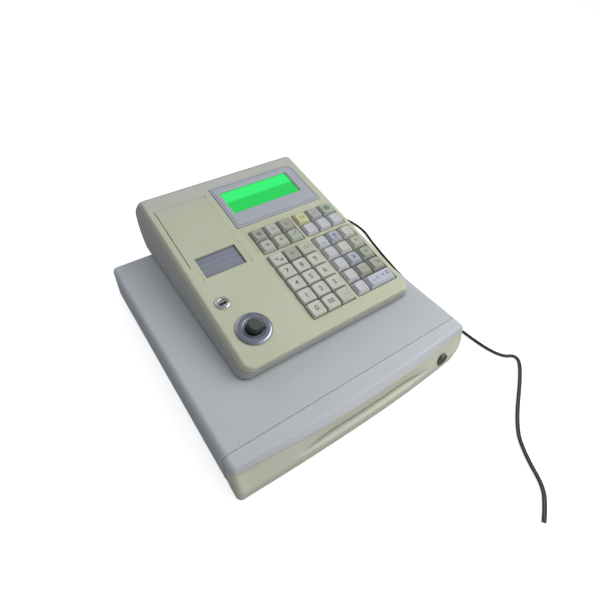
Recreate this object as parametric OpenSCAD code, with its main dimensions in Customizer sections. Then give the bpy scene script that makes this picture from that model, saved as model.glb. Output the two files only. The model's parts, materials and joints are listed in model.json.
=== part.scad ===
// Compact electronic cash register on its own low cash drawer.
// Origin: centre of the drawer case's footprint, on the counter.
// +X is the operator's right, +Y points to the back, +Z is up. Millimetres.

/* [Drawer case] */
// Width of the drawer case
case_w = 308; // [300:1:320]
// Depth of the drawer case, without the bow of the drawer's front
case_d = 321; // [318:1:330]
// Height of the drawer case's top above the counter
case_top = 47; // [47:0.5:50]
// Height of the rubber feet
foot_h = 3.5; // [3:0.1:3.6]
// Thickness of the moulded walls
wall = 2.5; // [2:0.1:3]
// Depth of the header strip over the drawer's front
header_d = 19.3; // [16:0.1:24]

/* [Register body] */
// Width of the register body at its top
body_w = 224; // [222:1:230]
// How far the body stands right of the drawer's centre
body_x = 17; // [10:1:20]
// Distance from the drawer case's front to the body's front edge
body_setback = 74.2; // [70:0.1:80]
// Height of the body's front edge above the counter
body_front_z = 66; // [64:0.1:70]
// Slope of the keyboard top
slope_deg = 10.4; // [9:0.1:12]
// Depth of the cream top case below the sloping top
rim_h = 7.2; // [6:0.1:7.6]
// Radius of the body's front corners, seen from above
corner_r = 14; // [8:0.5:16]
// How far each side leans out below its top edge
side_flare = 6.7; // [4:0.1:8]

/* [Keyboard] */
// Distance between key centres
key_pitch = 20; // [19:0.1:20]
// How far a key goes down
key_travel = 3.5; // [2:0.1:3.5]
// Gap between a key's skirt and its neighbour's
key_gap = 1; // [0.6:0.1:1.6]

/* [Fits] */
// Radial clearance of every turning pin
running_gap = 0.05; // [0.03:0.01:0.1]

/* [Hidden] */
$fn = 64;
eps = 0.01;
fit_gap = 0.3;
// Longer than anything that is cut
far = 400;

// Drawer case
case_front = -case_d / 2;
case_back = case_d / 2;
case_bottom = foot_h;
case_edge_r = 9;
base_floor = case_bottom + 2;
base_wall = 2;
base_x = case_w / 2 - wall - fit_gap;
case_bend_r = case_edge_r - wall / 2;
header_z = case_top - 8.6;
foot_r = 8;
foot_in = 25;
rail_x = 120;
rail_w = 10;

// Drawer front: a bowed lip below a flatter band, with a finger groove between
front_z0 = case_bottom + 0.5;
front_z1 = header_z - 0.4;
lip_bow = 4.8;
lip_lead = 9.5;
band_bow = 1.5;
band_lead = 5;
front_back = case_front + 12;
front_corner_r = 12;
lip_z = 22;
groove_w = 190;
groove_x = -22;
groove_r = 4.5;
lock_x = 112;
lock_z = 21;
lock_r = 8;
lock_stand = 0.5;

// Sliding box and till
rail_h = 0.7;
box_w = 2 * (base_x - base_wall) - 2;
box_z0 = base_floor + rail_h + 0.1;
box_top = header_z - 0.8;
box_wall = 2;
box_y0 = front_back;
box_y1 = case_back - wall - base_wall - 4;
till_w = box_w - 2 * box_wall - 1;
till_y0 = box_y0 + box_wall + 0.5;
till_y1 = box_y1 - box_wall - 16;
till_z0 = box_z0 + box_wall;
till_z1 = box_top - 1.2;
till_rib = 1.8;
till_floor = 1.6;
coin_d = 96;
coin_cups = 5;
note_bays = 4;
coin_y1 = till_y0 + till_rib + coin_d;
note_y0 = coin_y1 + till_rib;
note_d = till_y1 - till_rib - note_y0;
coin_w = (till_w - till_rib * (coin_cups + 1)) / coin_cups;
note_w = (till_w - till_rib * (note_bays + 1)) / note_bays;

// Register body: side view has a straight front and a round back
body_y0 = case_front + body_setback;
body_z0 = case_top + 0.02;
back_r = 47.5;
back_y = 147;
back_z = 84;
brow_r = 14;
body_len = 276;
edge_r = 3;
front_step = 3.1;
lean_drop = 19;
joint_gap = 0.2;
post_r = 3;
cord_exit_x = 70;
cord_exit_h = 12;

// Features on the sloping top, as x from the body's centre and s up the slope
lid_x0 = -104;
lid_x1 = -35;
lid_s0 = 122.6;
lid_t = 2.2;
hinge_s = 244;
hinge_r = 2.2;
pin_r = 1;
pin_len = 2.6;
hinge_block = 4;
window_lap = 3;
window_x0 = -94;
window_x1 = -42;
window_s1 = 154.5;
window_t = 1.2;
bezel_x0 = -25.5;
bezel_x1 = 102;
bezel_s0 = 174;
bezel_s1 = 252.5;
bezel_t = 2.4;
bezel_sink = 1.4;
bezel_corner_r = 9;
screen_lap = 3;
screen_x0 = -15.5;
screen_x1 = 86;
screen_s0 = 199.5;
screen_s1 = 240.5;
mode_x = -81.4;
mode_s = 39.8;
mode_ring_r = 20;
mode_bore_r = 9;
mode_ring_h = 2.4;
mode_shell = 2;
grip_r = 8.6;
grip_tip = 12.4;
grip_top = 12;
grip_low = 6.5;
grip_turn = -22;
clerk_x = -94.7;
clerk_s = 84;
clerk_ring_r = 8.2;
clerk_bore_r = 4.6;
clerk_ring_h = 2.2;
clerk_shell = 1.2;
ring_slope = 0.6;
slot_len = 8.2;
slot_w = 2.4;
shank_len = 16;

// Keyboard
num_x = [-8.5, -8.5 + key_pitch, -8.5 + 2 * key_pitch];
dept_x = [55.7, 55.7 + key_pitch, 55.7 + 2 * key_pitch];
row_s = [for (j = [0:4]) 27.4 + j * 19.9];
upper_s = [132, 132 + key_pitch];
cap_drop = 2.4;
well_sink = cap_drop + key_travel + 0.5;
frame_t = 1.6;
cap_rise = 4;
skirt_w = key_pitch - key_gap;
flat_top = 16.4;
peak_top = 13;
cap_wall = 1.2;
stem_w = 6;
stem_gap = 0.15;
stem_len = 7.6;
board_drop = 15.2;
well_side = 10.25;

// Paper roll and printer
roll_x0 = -98;
roll_w = 57;
roll_r = 21;
roll_core_r = 6;
roll_s = 203;
roll_drop = 27;
arm_t = 2;
arm_reach = 5;
arm_gap = 1;
board_t = 1.6;
board_x0 = -18;
board_x1 = 104;
board_s0 = 14;
board_s1 = 166;
chassis_z = case_top + wall + 0.4;
chassis_t = 1.5;
printer_x0 = -97;
printer_x1 = -39;
printer_s0 = 128;
printer_s1 = 158;
printer_drop = 9;
printer_wall = 4;
platen_r = 4.5;

// Flat two-core power cord
cord_w = 5.4;
cord_t = 3.2;
cord_lift = 0.1;
cord_drop_y = 214;

// Key tables: name, x, s, skirt width, top width, colour
cream = "#c9c8b4";
pale = "#c6c5ba";
grey = "#b9bcc0";
lilac = "#aeb1cf";
moss = "#a9b09a";
NUMERIC = [
    ["key_0", "key_00", "key_point"],
    ["key_1", "key_2", "key_3"],
    ["key_4", "key_5", "key_6"],
    ["key_7", "key_8", "key_9"],
    ["key_code", "key_multiply", "key_clear"]
];
UPPER_LEFT = [
    ["key_discount", "key_percent", "key_tax"],
    ["key_feed", "key_void", "key_refund"]
];
UPPER_RIGHT = [
    ["key_check", "key_charge", "key_exchange"],
    ["key_received", "key_paid_out", "key_no_sale"]
];
DEPARTMENTS = [
    ["key_dept_1", "key_dept_2", "key_dept_3"],
    ["key_dept_4", "key_dept_5", "key_dept_6"],
    ["key_dept_7", "key_dept_8", "key_dept_9"],
    ["key_dept_10", "key_dept_11", "key_dept_12"]
];
wide_w = 2 * key_pitch - key_gap;
KEYS = concat(
    [for (j = [0:4]) for (i = [0:2])
        [NUMERIC[j][i], num_x[i], row_s[j], skirt_w, flat_top, pale]],
    [for (j = [0:1]) for (i = [0:2])
        [UPPER_LEFT[j][i], num_x[i], upper_s[j], skirt_w, peak_top + 1, cream]],
    [for (j = [0:1]) for (i = [0:2])
        [UPPER_RIGHT[j][i], dept_x[i], upper_s[j], skirt_w, peak_top + 1, grey]],
    [for (j = [0:3]) for (i = [0:2])
        [DEPARTMENTS[j][i], dept_x[i], row_s[j + 1], skirt_w, peak_top, i == 0 ? grey : moss]],
    [
        ["key_subtotal", dept_x[0], row_s[0], skirt_w, peak_top, grey],
        ["key_total", (dept_x[1] + dept_x[2]) / 2, row_s[0], wide_w, wide_w - skirt_w + peak_top, lilac]
    ]
);

// ---------------------------------------------------------------- helpers

// Places its children on the sloping top: x from the body's centre, y up the slope
module on_slope() {
    translate([body_x, body_y0, body_front_z])
        rotate([slope_deg, 0, 0])
            children();
}

// Box from two opposite corners
module span(low, high) {
    translate(low)
        cube(high - low);
}

// Rectangle with four round corners, from its low and high corners
module round_rect(low, high, r) {
    size = high - low;
    translate(low)
        union() {
            translate([r, 0])
                square([size[0] - 2 * r, size[1]]);
            translate([0, r])
                square([size[0], size[1] - 2 * r]);
            for (x = [r, size[0] - r])
                for (y = [r, size[1] - r])
                    translate([x, y])
                        circle(r);
        }
}

// Upright block with four round vertical edges
module round_block(low, high, r) {
    translate([0, 0, low[2]])
        linear_extrude(high[2] - low[2])
            round_rect([low[0], low[1]], [high[0], high[1]], r);
}

// Tunnel shape along Y: flat bottom, round upper edges
module tunnel(half_w, z0, z1, r, y0, y1) {
    translate([0, y1, 0])
        rotate([90, 0, 0])
            linear_extrude(y1 - y0)
                intersection() {
                    round_rect([-half_w, z0 - 2 * r], [half_w, z1], r);
                    translate([-half_w, z0])
                        square([2 * half_w, z1 - z0]);
                }
}

// ---------------------------------------------------------------- drawer case

// Outer form of the drawer case between two depths
module case_form(y0, y1, inset) {
    intersection() {
        tunnel(case_w / 2 - inset, case_bottom, case_top - inset, case_edge_r - inset, y0, y1);
        round_block(
            [-case_w / 2 + inset, case_front - 40, 0],
            [case_w / 2 - inset, case_back - inset, case_top + 10],
            case_edge_r - inset / 2
        );
    }
}

module drawer_cover() {
    seam = case_front + header_d + 0.3;
    color("#a9b0b8")
        difference() {
            case_form(seam, case_back, 0);
            translate([0, 0, -eps])
                case_form(seam - 10, case_back - wall, wall);
        }
}

// Floor, side walls and back wall under the cover, open at the front
module base_tray() {
    y0 = front_back + 1;
    y1 = case_back - wall - fit_gap;
    wall_top = case_top - wall - case_edge_r + 2;
    difference() {
        round_block([-base_x, y0 - far, case_bottom], [base_x, y1, wall_top], case_bend_r);
        round_block(
            [-base_x + base_wall, y0 - far - 1, base_floor],
            [base_x - base_wall, y1 - base_wall, far],
            case_bend_r - base_wall
        );
        span([-far, -2 * far, -far], [far, y0, far]);
    }
    // rails under the sliding box
    for (x = [-rail_x, rail_x])
        span(
            [x - rail_w / 2, front_back + 6, base_floor - eps],
            [x + rail_w / 2, y1 - 8, base_floor + rail_h]
        );
}

// Header strip over the drawer's front, with the two end posts that join it to the tray
module header() {
    post_y0 = front_back + 1;
    post_in = case_w / 2 - base_x + base_wall;
    y1 = case_front + header_d;
    intersection() {
        case_form(case_front, y1, 0);
        union() {
            span([-far, case_front, header_z], [far, y1, case_top]);
            for (side = [-1, 1])
                translate([side * case_w / 2, 0, 0])
                    span([-post_in, post_y0, 0], [post_in, y1, case_top]);
        }
    }
}

module drawer_base() {
    color("#9aa1a9")
        union() {
            base_tray();
            header();
        }
}

// One foot near each corner and one under the middle of the floor
module feet() {
    foot_x = case_w / 2 - foot_in;
    foot_y = case_d / 2 - foot_in;
    color("#26262a") {
        for (x = [-foot_x, foot_x])
            for (y = [-foot_y, foot_y])
                translate([x, y, 0])
                    cylinder(r = foot_r, h = foot_h);
        cylinder(r = foot_r, h = foot_h);
    }
}

// ---------------------------------------------------------------- drawer

// How far forward of the case a bowed face stands at one side position
function bowed(lead, bow, x) = lead - bow * pow(x / (case_w / 2 - front_corner_r), 2);

// Plan of the drawer's front: lead forward of the case in the middle, bow less at the ends
module front_plan(lead, bow) {
    half = case_w / 2;
    chord = half - front_corner_r;
    bow_r = (chord * chord + bow * bow) / (2 * bow);
    intersection() {
        translate([0, case_front - lead + bow_r])
            circle(bow_r, $fn = 256);
        round_rect(
            [-half, case_front - lead + bow / 2],
            [half, front_back + 2 * front_corner_r],
            front_corner_r
        );
        translate([-half, case_front - 40])
            square([case_w, front_back - case_front + 40]);
    }
}

module drawer_front() {
    color("#c3c3ac")
        difference() {
            union() {
                translate([0, 0, front_z0])
                    linear_extrude(lip_z - front_z0)
                        front_plan(lip_lead, lip_bow);
                translate([0, 0, lip_z - eps])
                    linear_extrude(front_z1 - lip_z + eps)
                        front_plan(band_lead, band_bow);
            }
            // finger groove above the lip
            translate([groove_x, case_front - band_lead, lip_z + groove_r - 1])
                rotate([0, 90, 0])
                    cylinder(r = groove_r, h = groove_w, center = true);
            // hole of the drawer lock
            translate([lock_x, case_front - 30, lock_z])
                rotate([-90, 0, 0])
                    cylinder(r = lock_r + running_gap, h = 60);
        }
}

module drawer_lock() {
    lock_front = case_front - bowed(lip_lead, lip_bow, lock_x) - lock_stand;
    color("#55564f")
        difference() {
            translate([lock_x, lock_front, lock_z])
                rotate([-90, 0, 0])
                    cylinder(r = lock_r, h = front_back - lock_front - 0.2);
            span(
                [lock_x - 1, lock_front - 1, lock_z - 4.5],
                [lock_x + 1, lock_front + 3, lock_z + 4.5]
            );
        }
}

module drawer_box() {
    color("#8f969c")
        difference() {
            span([-box_w / 2, box_y0, box_z0], [box_w / 2, box_y1, box_top]);
            span(
                [-box_w / 2 + box_wall, box_y0 + box_wall, box_z0 + box_wall],
                [box_w / 2 - box_wall, box_y1 - box_wall, box_top + 1]
            );
        }
}

module coin_cup(i) {
    x0 = -till_w / 2 + till_rib + i * (coin_w + till_rib);
    scoop_r = 70;
    intersection() {
        span([x0, till_y0 + till_rib, till_z0 + till_floor], [x0 + coin_w, coin_y1, till_z1 + 1]);
        translate([x0 - 1, till_y0 + till_rib + coin_d / 2, till_z0 + till_floor + scoop_r])
            rotate([0, 90, 0])
                cylinder(r = scoop_r, h = coin_w + 2);
    }
}

module note_bay(i) {
    x0 = -till_w / 2 + till_rib + i * (note_w + till_rib);
    span([x0, note_y0, till_z0 + till_floor], [x0 + note_w, note_y0 + note_d, till_z1 + 1]);
}

module cash_tray() {
    color("#4c4f54")
        difference() {
            span([-till_w / 2, till_y0, till_z0], [till_w / 2, till_y1, till_z1]);
            for (i = [0:coin_cups - 1])
                coin_cup(i);
            for (i = [0:note_bays - 1])
                note_bay(i);
        }
}

// ---------------------------------------------------------------- register body

// Side view: a round front edge, the sloping top, a round brow tangent to it,
// and a big round back that the brow runs into
up_slope = [cos(slope_deg), sin(slope_deg)];
off_slope = [-sin(slope_deg), cos(slope_deg)];
body_corner = [body_y0, body_front_z];
back_centre = [back_y, back_z];
from_corner = body_corner - off_slope * brow_r - back_centre;
along = from_corner * up_slope;
brow_run = sqrt(along * along - from_corner * from_corner + pow(back_r - brow_r, 2)) - along;
brow = back_centre + from_corner + up_slope * brow_run;
// Point where the front and the sloping top meet, both pulled in by the same amount
function front_corner(inset) =
    body_corner + up_slope * inset * (1 - up_slope[1]) / up_slope[0] - off_slope * inset;
nose = front_corner(edge_r);

// Drawn in Y and Z, pulled in by inset; only the outer form has a round nose
module side_view(inset) {
    back_deg = atan2(brow[1] - back_z, brow[0] - back_y);
    nose_points = inset > 0
        ? [front_corner(inset)]
        : [[body_y0, nose[1]], nose, nose + off_slope * edge_r];
    intersection() {
        union() {
            polygon(concat(
                [[body_y0 + front_step + inset, body_z0 - 1]],
                nose_points,
                [brow + off_slope * (brow_r - inset), brow, back_centre, [back_y, body_z0 - 1]]
            ));
            if (inset == 0)
                translate(nose)
                    circle(edge_r);
            translate(brow)
                circle(brow_r - inset);
            // the big round back, below the line through both centres
            intersection() {
                translate(back_centre)
                    circle(back_r - inset, $fn = 128);
                translate(back_centre)
                    rotate(back_deg)
                        translate([-far / 2, -far])
                            square([far, far]);
            }
        }
        translate([body_y0 - 1, body_z0])
            square([far, far]);
    }
}

// The sides lean out below the top edge and are upright from the knee down.
// Half the inner or outer width on the leaning part, at one height off the sloping top
lean_len = norm([side_flare, lean_drop]);
function lean_x(n, inset) = body_w / 2 - (inset * lean_len + n * side_flare) / lean_drop;
function knee(inset) = -(lean_drop * (side_flare - inset) + inset * lean_len) / side_flare;

// Sides seen along the slope, pulled in by inset; only the outer form has round
// edges along the top, the inner form is left tall
module lean_view(inset) {
    low = -70;
    high = 10;
    half = body_w / 2 + side_flare - inset;
    round_x = body_w / 2 - edge_r * (lean_len - side_flare) / lean_drop;
    touch = [round_x, -edge_r] + edge_r * [lean_drop, side_flare] / lean_len;
    upper = inset > 0 ? [[lean_x(high, inset), high]] : [touch, [round_x, 0]];
    for (side = [0, 1])
        mirror([side, 0])
            union() {
                polygon(concat(
                    [[-1, low], [half, low], [half, knee(inset)]],
                    upper,
                    [[-1, inset > 0 ? high : 0]]
                ));
                if (inset == 0)
                    translate([round_x, -edge_r])
                        circle(edge_r);
            }
}

// The whole form of the body, pulled in by inset
module body_form(inset) {
    half = body_w / 2 + side_flare - inset;
    intersection() {
        translate([body_x - far / 2, 0, 0])
            rotate([90, 0, 90])
                linear_extrude(far)
                    side_view(inset);
        on_slope()
            translate([0, body_len + 60, 0])
                rotate([90, 0, 0])
                    linear_extrude(body_len + 120)
                        lean_view(inset);
        // round vertical corners
        round_block(
            [body_x - half, body_y0 + inset, 0],
            [body_x + half, body_y0 + far, far],
            corner_r - inset
        );
    }
}

module lower_case() {
    color("#84878a") {
        difference() {
            body_form(0);
            body_form_inside();
            on_slope()
                span([-far, -far, -rim_h - joint_gap], [far, far, far]);
            // outlet of the power cord
            translate([body_x + cord_exit_x, back_y, body_z0 + cord_exit_h])
                rotate([-90, 0, 0])
                    cylinder(r = norm([cord_w, cord_t]) / 2 + fit_gap, h = back_r + 10);
        }
        // posts that carry the circuit board
        difference() {
            for (x = [board_x0 + 10, board_x1 - 10])
                for (y = [board_s0 + 12, board_s1 - 14])
                    translate([body_x + x, body_y0 + y, body_z0 + wall - eps])
                        cylinder(r = post_r, h = back_r);
            on_slope()
                span([-far, -far, -board_drop - board_t - 0.02], [far, far, far]);
        }
    }
}

// The room inside the body, with a floor left under it
module body_form_inside() {
    intersection() {
        body_form(wall);
        span([-far, -far, body_z0 + wall], [far, far, far]);
    }
}

module round_hole(x, s, r) {
    translate([x, s, -40])
        cylinder(r = r, h = 60);
}

// Openings of the four key wells, down to the key frame's upper face
module wells() {
    for (x = [num_x[0], dept_x[0]])
        for (rows = [[row_s[0], row_s[4]], [upper_s[0], upper_s[1]]])
            span(
                [x - well_side, rows[0] - well_side, -well_sink],
                [x + 2 * key_pitch + well_side, rows[1] + well_side, 10]
            );
}

module top_case() {
    color("#bfbfa6")
        difference() {
            union() {
                difference() {
                    body_form(0);
                    body_form_inside();
                    on_slope()
                        span([-far, -far, -far], [far, far, -rim_h]);
                }
                // key frame hanging under the key wells
                on_slope()
                    span(
                        [num_x[0] - well_side - 1, row_s[0] - well_side - 1, -well_sink - frame_t],
                        [dept_x[2] + well_side + 1, upper_s[1] + well_side + 1, -1]
                    );
                // hinge blocks of the printer lid
                on_slope()
                    for (x = [lid_x0 - fit_gap - hinge_block, lid_x1 + fit_gap])
                        span(
                            [x, hinge_s - hinge_block, -1.5 * hinge_block],
                            [x + hinge_block, hinge_s + hinge_block, -1]
                        );
            }
            on_slope() {
                wells();
                for (k = KEYS)
                    stem_holes(k);
                // printer opening under the lid
                span([lid_x0 - fit_gap, lid_s0 - fit_gap, -30],
                    [lid_x1 + fit_gap, hinge_s + hinge_r + fit_gap, 10]);
                translate([lid_x0 - pin_len - 1, hinge_s, -hinge_r])
                    rotate([0, 90, 0])
                        cylinder(r = pin_r + running_gap, h = lid_x1 - lid_x0 + 2 * pin_len + 2);
                // seat of the display bezel and the room for the screen behind it
                bezel_outline(fit_gap / 2, -bezel_sink, 10);
                span(
                    [screen_x0 - screen_lap - 1, screen_s0 - screen_lap - 1, -30],
                    [screen_x1 + screen_lap + 1, screen_s1 + screen_lap + 1, 10]
                );
                // holes of the two locks
                round_hole(mode_x, mode_s, mode_bore_r + mode_shell + 0.1);
                round_hole(clerk_x, clerk_s, clerk_bore_r + clerk_shell + 0.1);
            }
        }
}

// Plan of the bezel, with its right rear corner rounded, from z0 to z1
module bezel_outline(grow, z0, z1) {
    translate([0, 0, z0])
        linear_extrude(z1 - z0)
            union() {
                round_rect(
                    [bezel_x0 - grow, bezel_s0 - grow],
                    [bezel_x1 + grow, bezel_s1 + grow],
                    bezel_corner_r
                );
                translate([bezel_x0 - grow, bezel_s0 - grow])
                    square([60, bezel_s1 - bezel_s0 + 2 * grow]);
                translate([bezel_x0 - grow, bezel_s0 - grow])
                    square([bezel_x1 - bezel_x0 + 2 * grow, 40]);
            }
}

module display_bezel() {
    color("#a4a6b0")
        on_slope()
            difference() {
                bezel_outline(0, -bezel_sink + 0.05, bezel_t - bezel_sink);
                span([screen_x0, screen_s0, -20], [screen_x1, screen_s1, 20]);
            }
}

module display_screen() {
    color("#2fe36f")
        on_slope()
            span(
                [screen_x0 - screen_lap, screen_s0 - screen_lap, -bezel_sink - 3],
                [screen_x1 + screen_lap, screen_s1 + screen_lap, -bezel_sink - 0.05]
            );
}

// ---------------------------------------------------------------- printer

module printer_lid() {
    color("#c1c1a8")
        on_slope()
            difference() {
                union() {
                    span([lid_x0, lid_s0, -lid_t], [lid_x1, hinge_s, 0]);
                    translate([lid_x0, hinge_s, -hinge_r])
                        rotate([0, 90, 0])
                            cylinder(r = hinge_r, h = lid_x1 - lid_x0);
                    translate([lid_x0 - pin_len, hinge_s, -hinge_r])
                        rotate([0, 90, 0])
                            cylinder(r = pin_r, h = lid_x1 - lid_x0 + 2 * pin_len);
                }
                span([window_x0, lid_s0 - 1, -10], [window_x1, window_s1, 10]);
            }
}

module lid_window() {
    color("#7f8494")
        on_slope()
            span(
                [window_x0 - window_lap, lid_s0 + 0.4, -lid_t - 0.05 - window_t],
                [window_x1 + window_lap, window_s1 + window_lap, -lid_t - 0.05]
            );
}

module paper_roll() {
    color("#e8e8e4")
        on_slope()
            translate([roll_x0, roll_s, -roll_drop])
                rotate([0, 90, 0])
                    difference() {
                        cylinder(r = roll_r, h = roll_w);
                        translate([0, 0, -1])
                            cylinder(r = roll_core_r, h = roll_w + 2);
                    }
}

// ---------------------------------------------------------------- electronics

// One arm of the roll holder, with the stub that the roll turns on
module roll_arm(side) {
    inner = side < 0 ? roll_x0 - arm_gap : roll_x0 + roll_w + arm_gap;
    span(
        [side < 0 ? inner - arm_t : inner, roll_s - 8, -100],
        [side < 0 ? inner : inner + arm_t, roll_s + 8, -roll_drop + 9]
    );
    translate([side < 0 ? inner - eps : inner - arm_reach, roll_s, -roll_drop])
        rotate([0, 90, 0])
            cylinder(r = roll_core_r - running_gap, h = arm_reach + eps);
}

// Printer block with its open trough and the platen that lies in it
module printer() {
    trough_low = [printer_x0 + printer_wall, printer_s0 + printer_wall, -printer_drop - 7];
    trough_high = [printer_x1 - printer_wall, printer_s1 - printer_wall, 0];
    difference() {
        span([printer_x0, printer_s0, -100], [printer_x1, printer_s1, -printer_drop]);
        span(trough_low, trough_high);
    }
    translate([trough_low[0] - 1, (printer_s0 + printer_s1) / 2, -printer_drop - platen_r])
        rotate([0, 90, 0])
            cylinder(r = platen_r, h = trough_high[0] - trough_low[0] + 2);
}

module electronics() {
    color("#3c6b46")
        on_slope()
            span([board_x0, board_s0, -board_drop - board_t], [board_x1, board_s1, -board_drop]);
    // chassis plate with the printer, its platen and the arms of the paper roll
    color("#6d7075")
        intersection() {
            span([-far, -far, chassis_z], [far, far, far]);
            union() {
                translate([body_x, body_y0, chassis_z])
                    span(
                        [printer_x0 - 6, printer_s0 - 10, 0],
                        [printer_x1 + 3, roll_s + 33, chassis_t]
                    );
                on_slope() {
                    printer();
                    for (side = [-1, 1])
                        roll_arm(side);
                }
            }
        }
}

module lock_barrels() {
    color("#9c9ca8")
        on_slope() {
            lock_barrel(mode_x, mode_s, mode_ring_r, mode_ring_h, mode_bore_r, mode_shell);
            lock_barrel(clerk_x, clerk_s, clerk_ring_r, clerk_ring_h, clerk_bore_r, clerk_shell);
        }
}

module lock_barrel(x, s, ring_r, ring_h, bore_r, shell) {
    translate([x, s, 0])
        difference() {
            union() {
                translate([0, 0, 0.02])
                    cylinder(r1 = ring_r, r2 = ring_r - ring_h * ring_slope, h = ring_h);
                translate([0, 0, -shank_len])
                    cylinder(r = bore_r + shell, h = shank_len + 1);
            }
            translate([0, 0, -shank_len - 1])
                cylinder(r = bore_r, h = shank_len + 20);
        }
}

// Plan of the mode lock's thumb grip, round with a pointer along +X
module grip_plan() {
    circle(grip_r);
    polygon([[0, -grip_r], [grip_tip, -1], [grip_tip, 1], [0, grip_r]]);
}

// The grip is high over its round end and slopes down to the pointer
module mode_grip() {
    low = mode_ring_h + 0.6;
    intersection() {
        translate([0, 0, low])
            linear_extrude(grip_top - low)
                grip_plan();
        translate([0, 2 * grip_r, 0])
            rotate([90, 0, 0])
                linear_extrude(4 * grip_r)
                    polygon([
                        [-grip_tip, low - 1],
                        [grip_tip + 1, low - 1],
                        [grip_tip + 1, grip_low],
                        [-grip_r / 2, grip_top],
                        [-grip_tip, grip_top]
                    ]);
    }
}

module mode_lock_rotor() {
    color("#2b2c2e")
        on_slope()
            translate([mode_x, mode_s, 0])
                union() {
                    translate([0, 0, -shank_len + 1])
                        cylinder(r = mode_bore_r - running_gap, h = shank_len);
                    cylinder(r = grip_r - 1, h = mode_ring_h + 1);
                    rotate([0, 0, grip_turn])
                        mode_grip();
                }
}

module clerk_lock_rotor() {
    color("#c2c4c8")
        on_slope()
            translate([clerk_x, clerk_s, 0])
                difference() {
                    translate([0, 0, -shank_len + 1])
                        cylinder(r = clerk_bore_r - running_gap, h = shank_len + clerk_ring_h - 2);
                    span(
                        [-slot_len / 2, -slot_w / 2, clerk_ring_h - 5],
                        [slot_len / 2, slot_w / 2, clerk_ring_h]
                    );
                }
}

// ---------------------------------------------------------------- keys

// Straight-sided block that tapers upwards, with flat faces
module taper(w0, d0, w1, d1, z0, z1) {
    intersection() {
        translate([0, d0, 0])
            rotate([90, 0, 0])
                linear_extrude(2 * d0)
                    polygon([[-w0 / 2, z0], [w0 / 2, z0], [w1 / 2, z1], [-w1 / 2, z1]]);
        translate([-w0, 0, 0])
            rotate([90, 0, 90])
                linear_extrude(2 * w0)
                    polygon([[-d0 / 2, z0], [d0 / 2, z0], [d1 / 2, z1], [-d1 / 2, z1]]);
    }
}

function stem_offsets(k) = k[3] > skirt_w + 1 ? [-key_pitch / 2, key_pitch / 2] : [0];

// Guide holes of one key in the key frame
module stem_holes(k) {
    half = stem_w / 2 + stem_gap;
    for (dx = stem_offsets(k))
        span(
            [k[1] + dx - half, k[2] - half, -30],
            [k[1] + dx + half, k[2] + half, 10]
        );
}

module key(k) {
    top_d = k[4] > skirt_w ? peak_top : k[4];
    color(k[5])
        on_slope()
            translate([k[1], k[2], 0])
                union() {
                    difference() {
                        taper(k[3], skirt_w, k[4], top_d, -cap_drop, cap_rise);
                        taper(
                            k[3] - 2 * cap_wall, skirt_w - 2 * cap_wall,
                            k[4] - 2 * cap_wall, top_d - 2 * cap_wall,
                            -cap_drop - eps, cap_rise - cap_wall
                        );
                    }
                    for (dx = stem_offsets(k))
                        span(
                            [dx - stem_w / 2, -stem_w / 2, -cap_drop - stem_len],
                            [dx + stem_w / 2, stem_w / 2, cap_rise - cap_wall + eps]
                        );
                }
}

// ---------------------------------------------------------------- power cord

// Corner points of the cord's run on the counter: from behind the body, forward
// along the right side of the drawer and round to the front
side_x = case_w / 2;
RUN = [
    [body_x + cord_exit_x, cord_drop_y],
    [body_x + cord_exit_x + 12, cord_drop_y + 4],
    [side_x - 4, cord_drop_y],
    [side_x + 42, 165],
    [side_x + 63, 97],
    [side_x + 49, 50],
    [side_x + 36, -18],
    [side_x + 29, -75],
    [side_x + 28, -150],
    [side_x + 36, -195],
    [side_x + 56, -205],
    [side_x + 40, -222],
    [side_x - 28, -264],
    [side_x - 46, -290],
    [side_x - 58, -318],
    [side_x - 74, -330],
    [side_x - 86, -337]
];
// Corner points of its drop from the body's back, in Y and Z
DROP = [
    [cord_drop_y - 44, body_z0 + cord_exit_h],
    [cord_drop_y - 16, body_z0 + cord_exit_h],
    [cord_drop_y - 6, body_z0 + 4],
    [cord_drop_y, 22],
    [cord_drop_y, cord_lift]
];

// One round of cutting each corner of a path at a quarter and three quarters
function cut_corners(path) = concat(
    [path[0]],
    [for (i = [0:len(path) - 2]) for (t = [0.25, 0.75]) path[i] * (1 - t) + path[i + 1] * t],
    [path[len(path) - 1]]
);
function smooth(path, rounds) = rounds == 0 ? path : smooth(cut_corners(path), rounds - 1);

// Direction square to a path at one of its points, pointing left of it
function square_to(path, i) =
    let (d = path[min(i + 1, len(path) - 1)] - path[max(i - 1, 0)])
    [-d[1], d[0]] / norm(d);

// Flat strip along a path, as wide as the cord
module strip(path, width) {
    last = len(path) - 1;
    polygon(concat(
        [for (i = [0:last]) path[i] + square_to(path, i) * width / 2],
        [for (i = [last:-1:0]) path[i] - square_to(path, i) * width / 2]
    ));
}

module power_cord() {
    color("#1c1c1e")
        union() {
            translate([0, 0, cord_lift])
                linear_extrude(cord_t)
                    strip(smooth(RUN, 2), cord_w);
            translate([body_x + cord_exit_x - cord_w / 2, 0, 0])
                rotate([90, 0, 90])
                    linear_extrude(cord_w)
                        strip(smooth(DROP, 2), cord_t);
        }
}

// ---------------------------------------------------------------- drawing

drawer_base();
drawer_cover();
feet();
drawer_box();
drawer_front();
cash_tray();
drawer_lock();
lower_case();
top_case();
display_bezel();
display_screen();
printer_lid();
lid_window();
paper_roll();
electronics();
lock_barrels();
mode_lock_rotor();
clerk_lock_rotor();
power_cord();
for (k = KEYS)
    key(k);
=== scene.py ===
"""Looks of the compact cash register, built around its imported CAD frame."""

import json
import math

import bmesh
import bpy
from mathutils import Matrix, Vector


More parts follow.
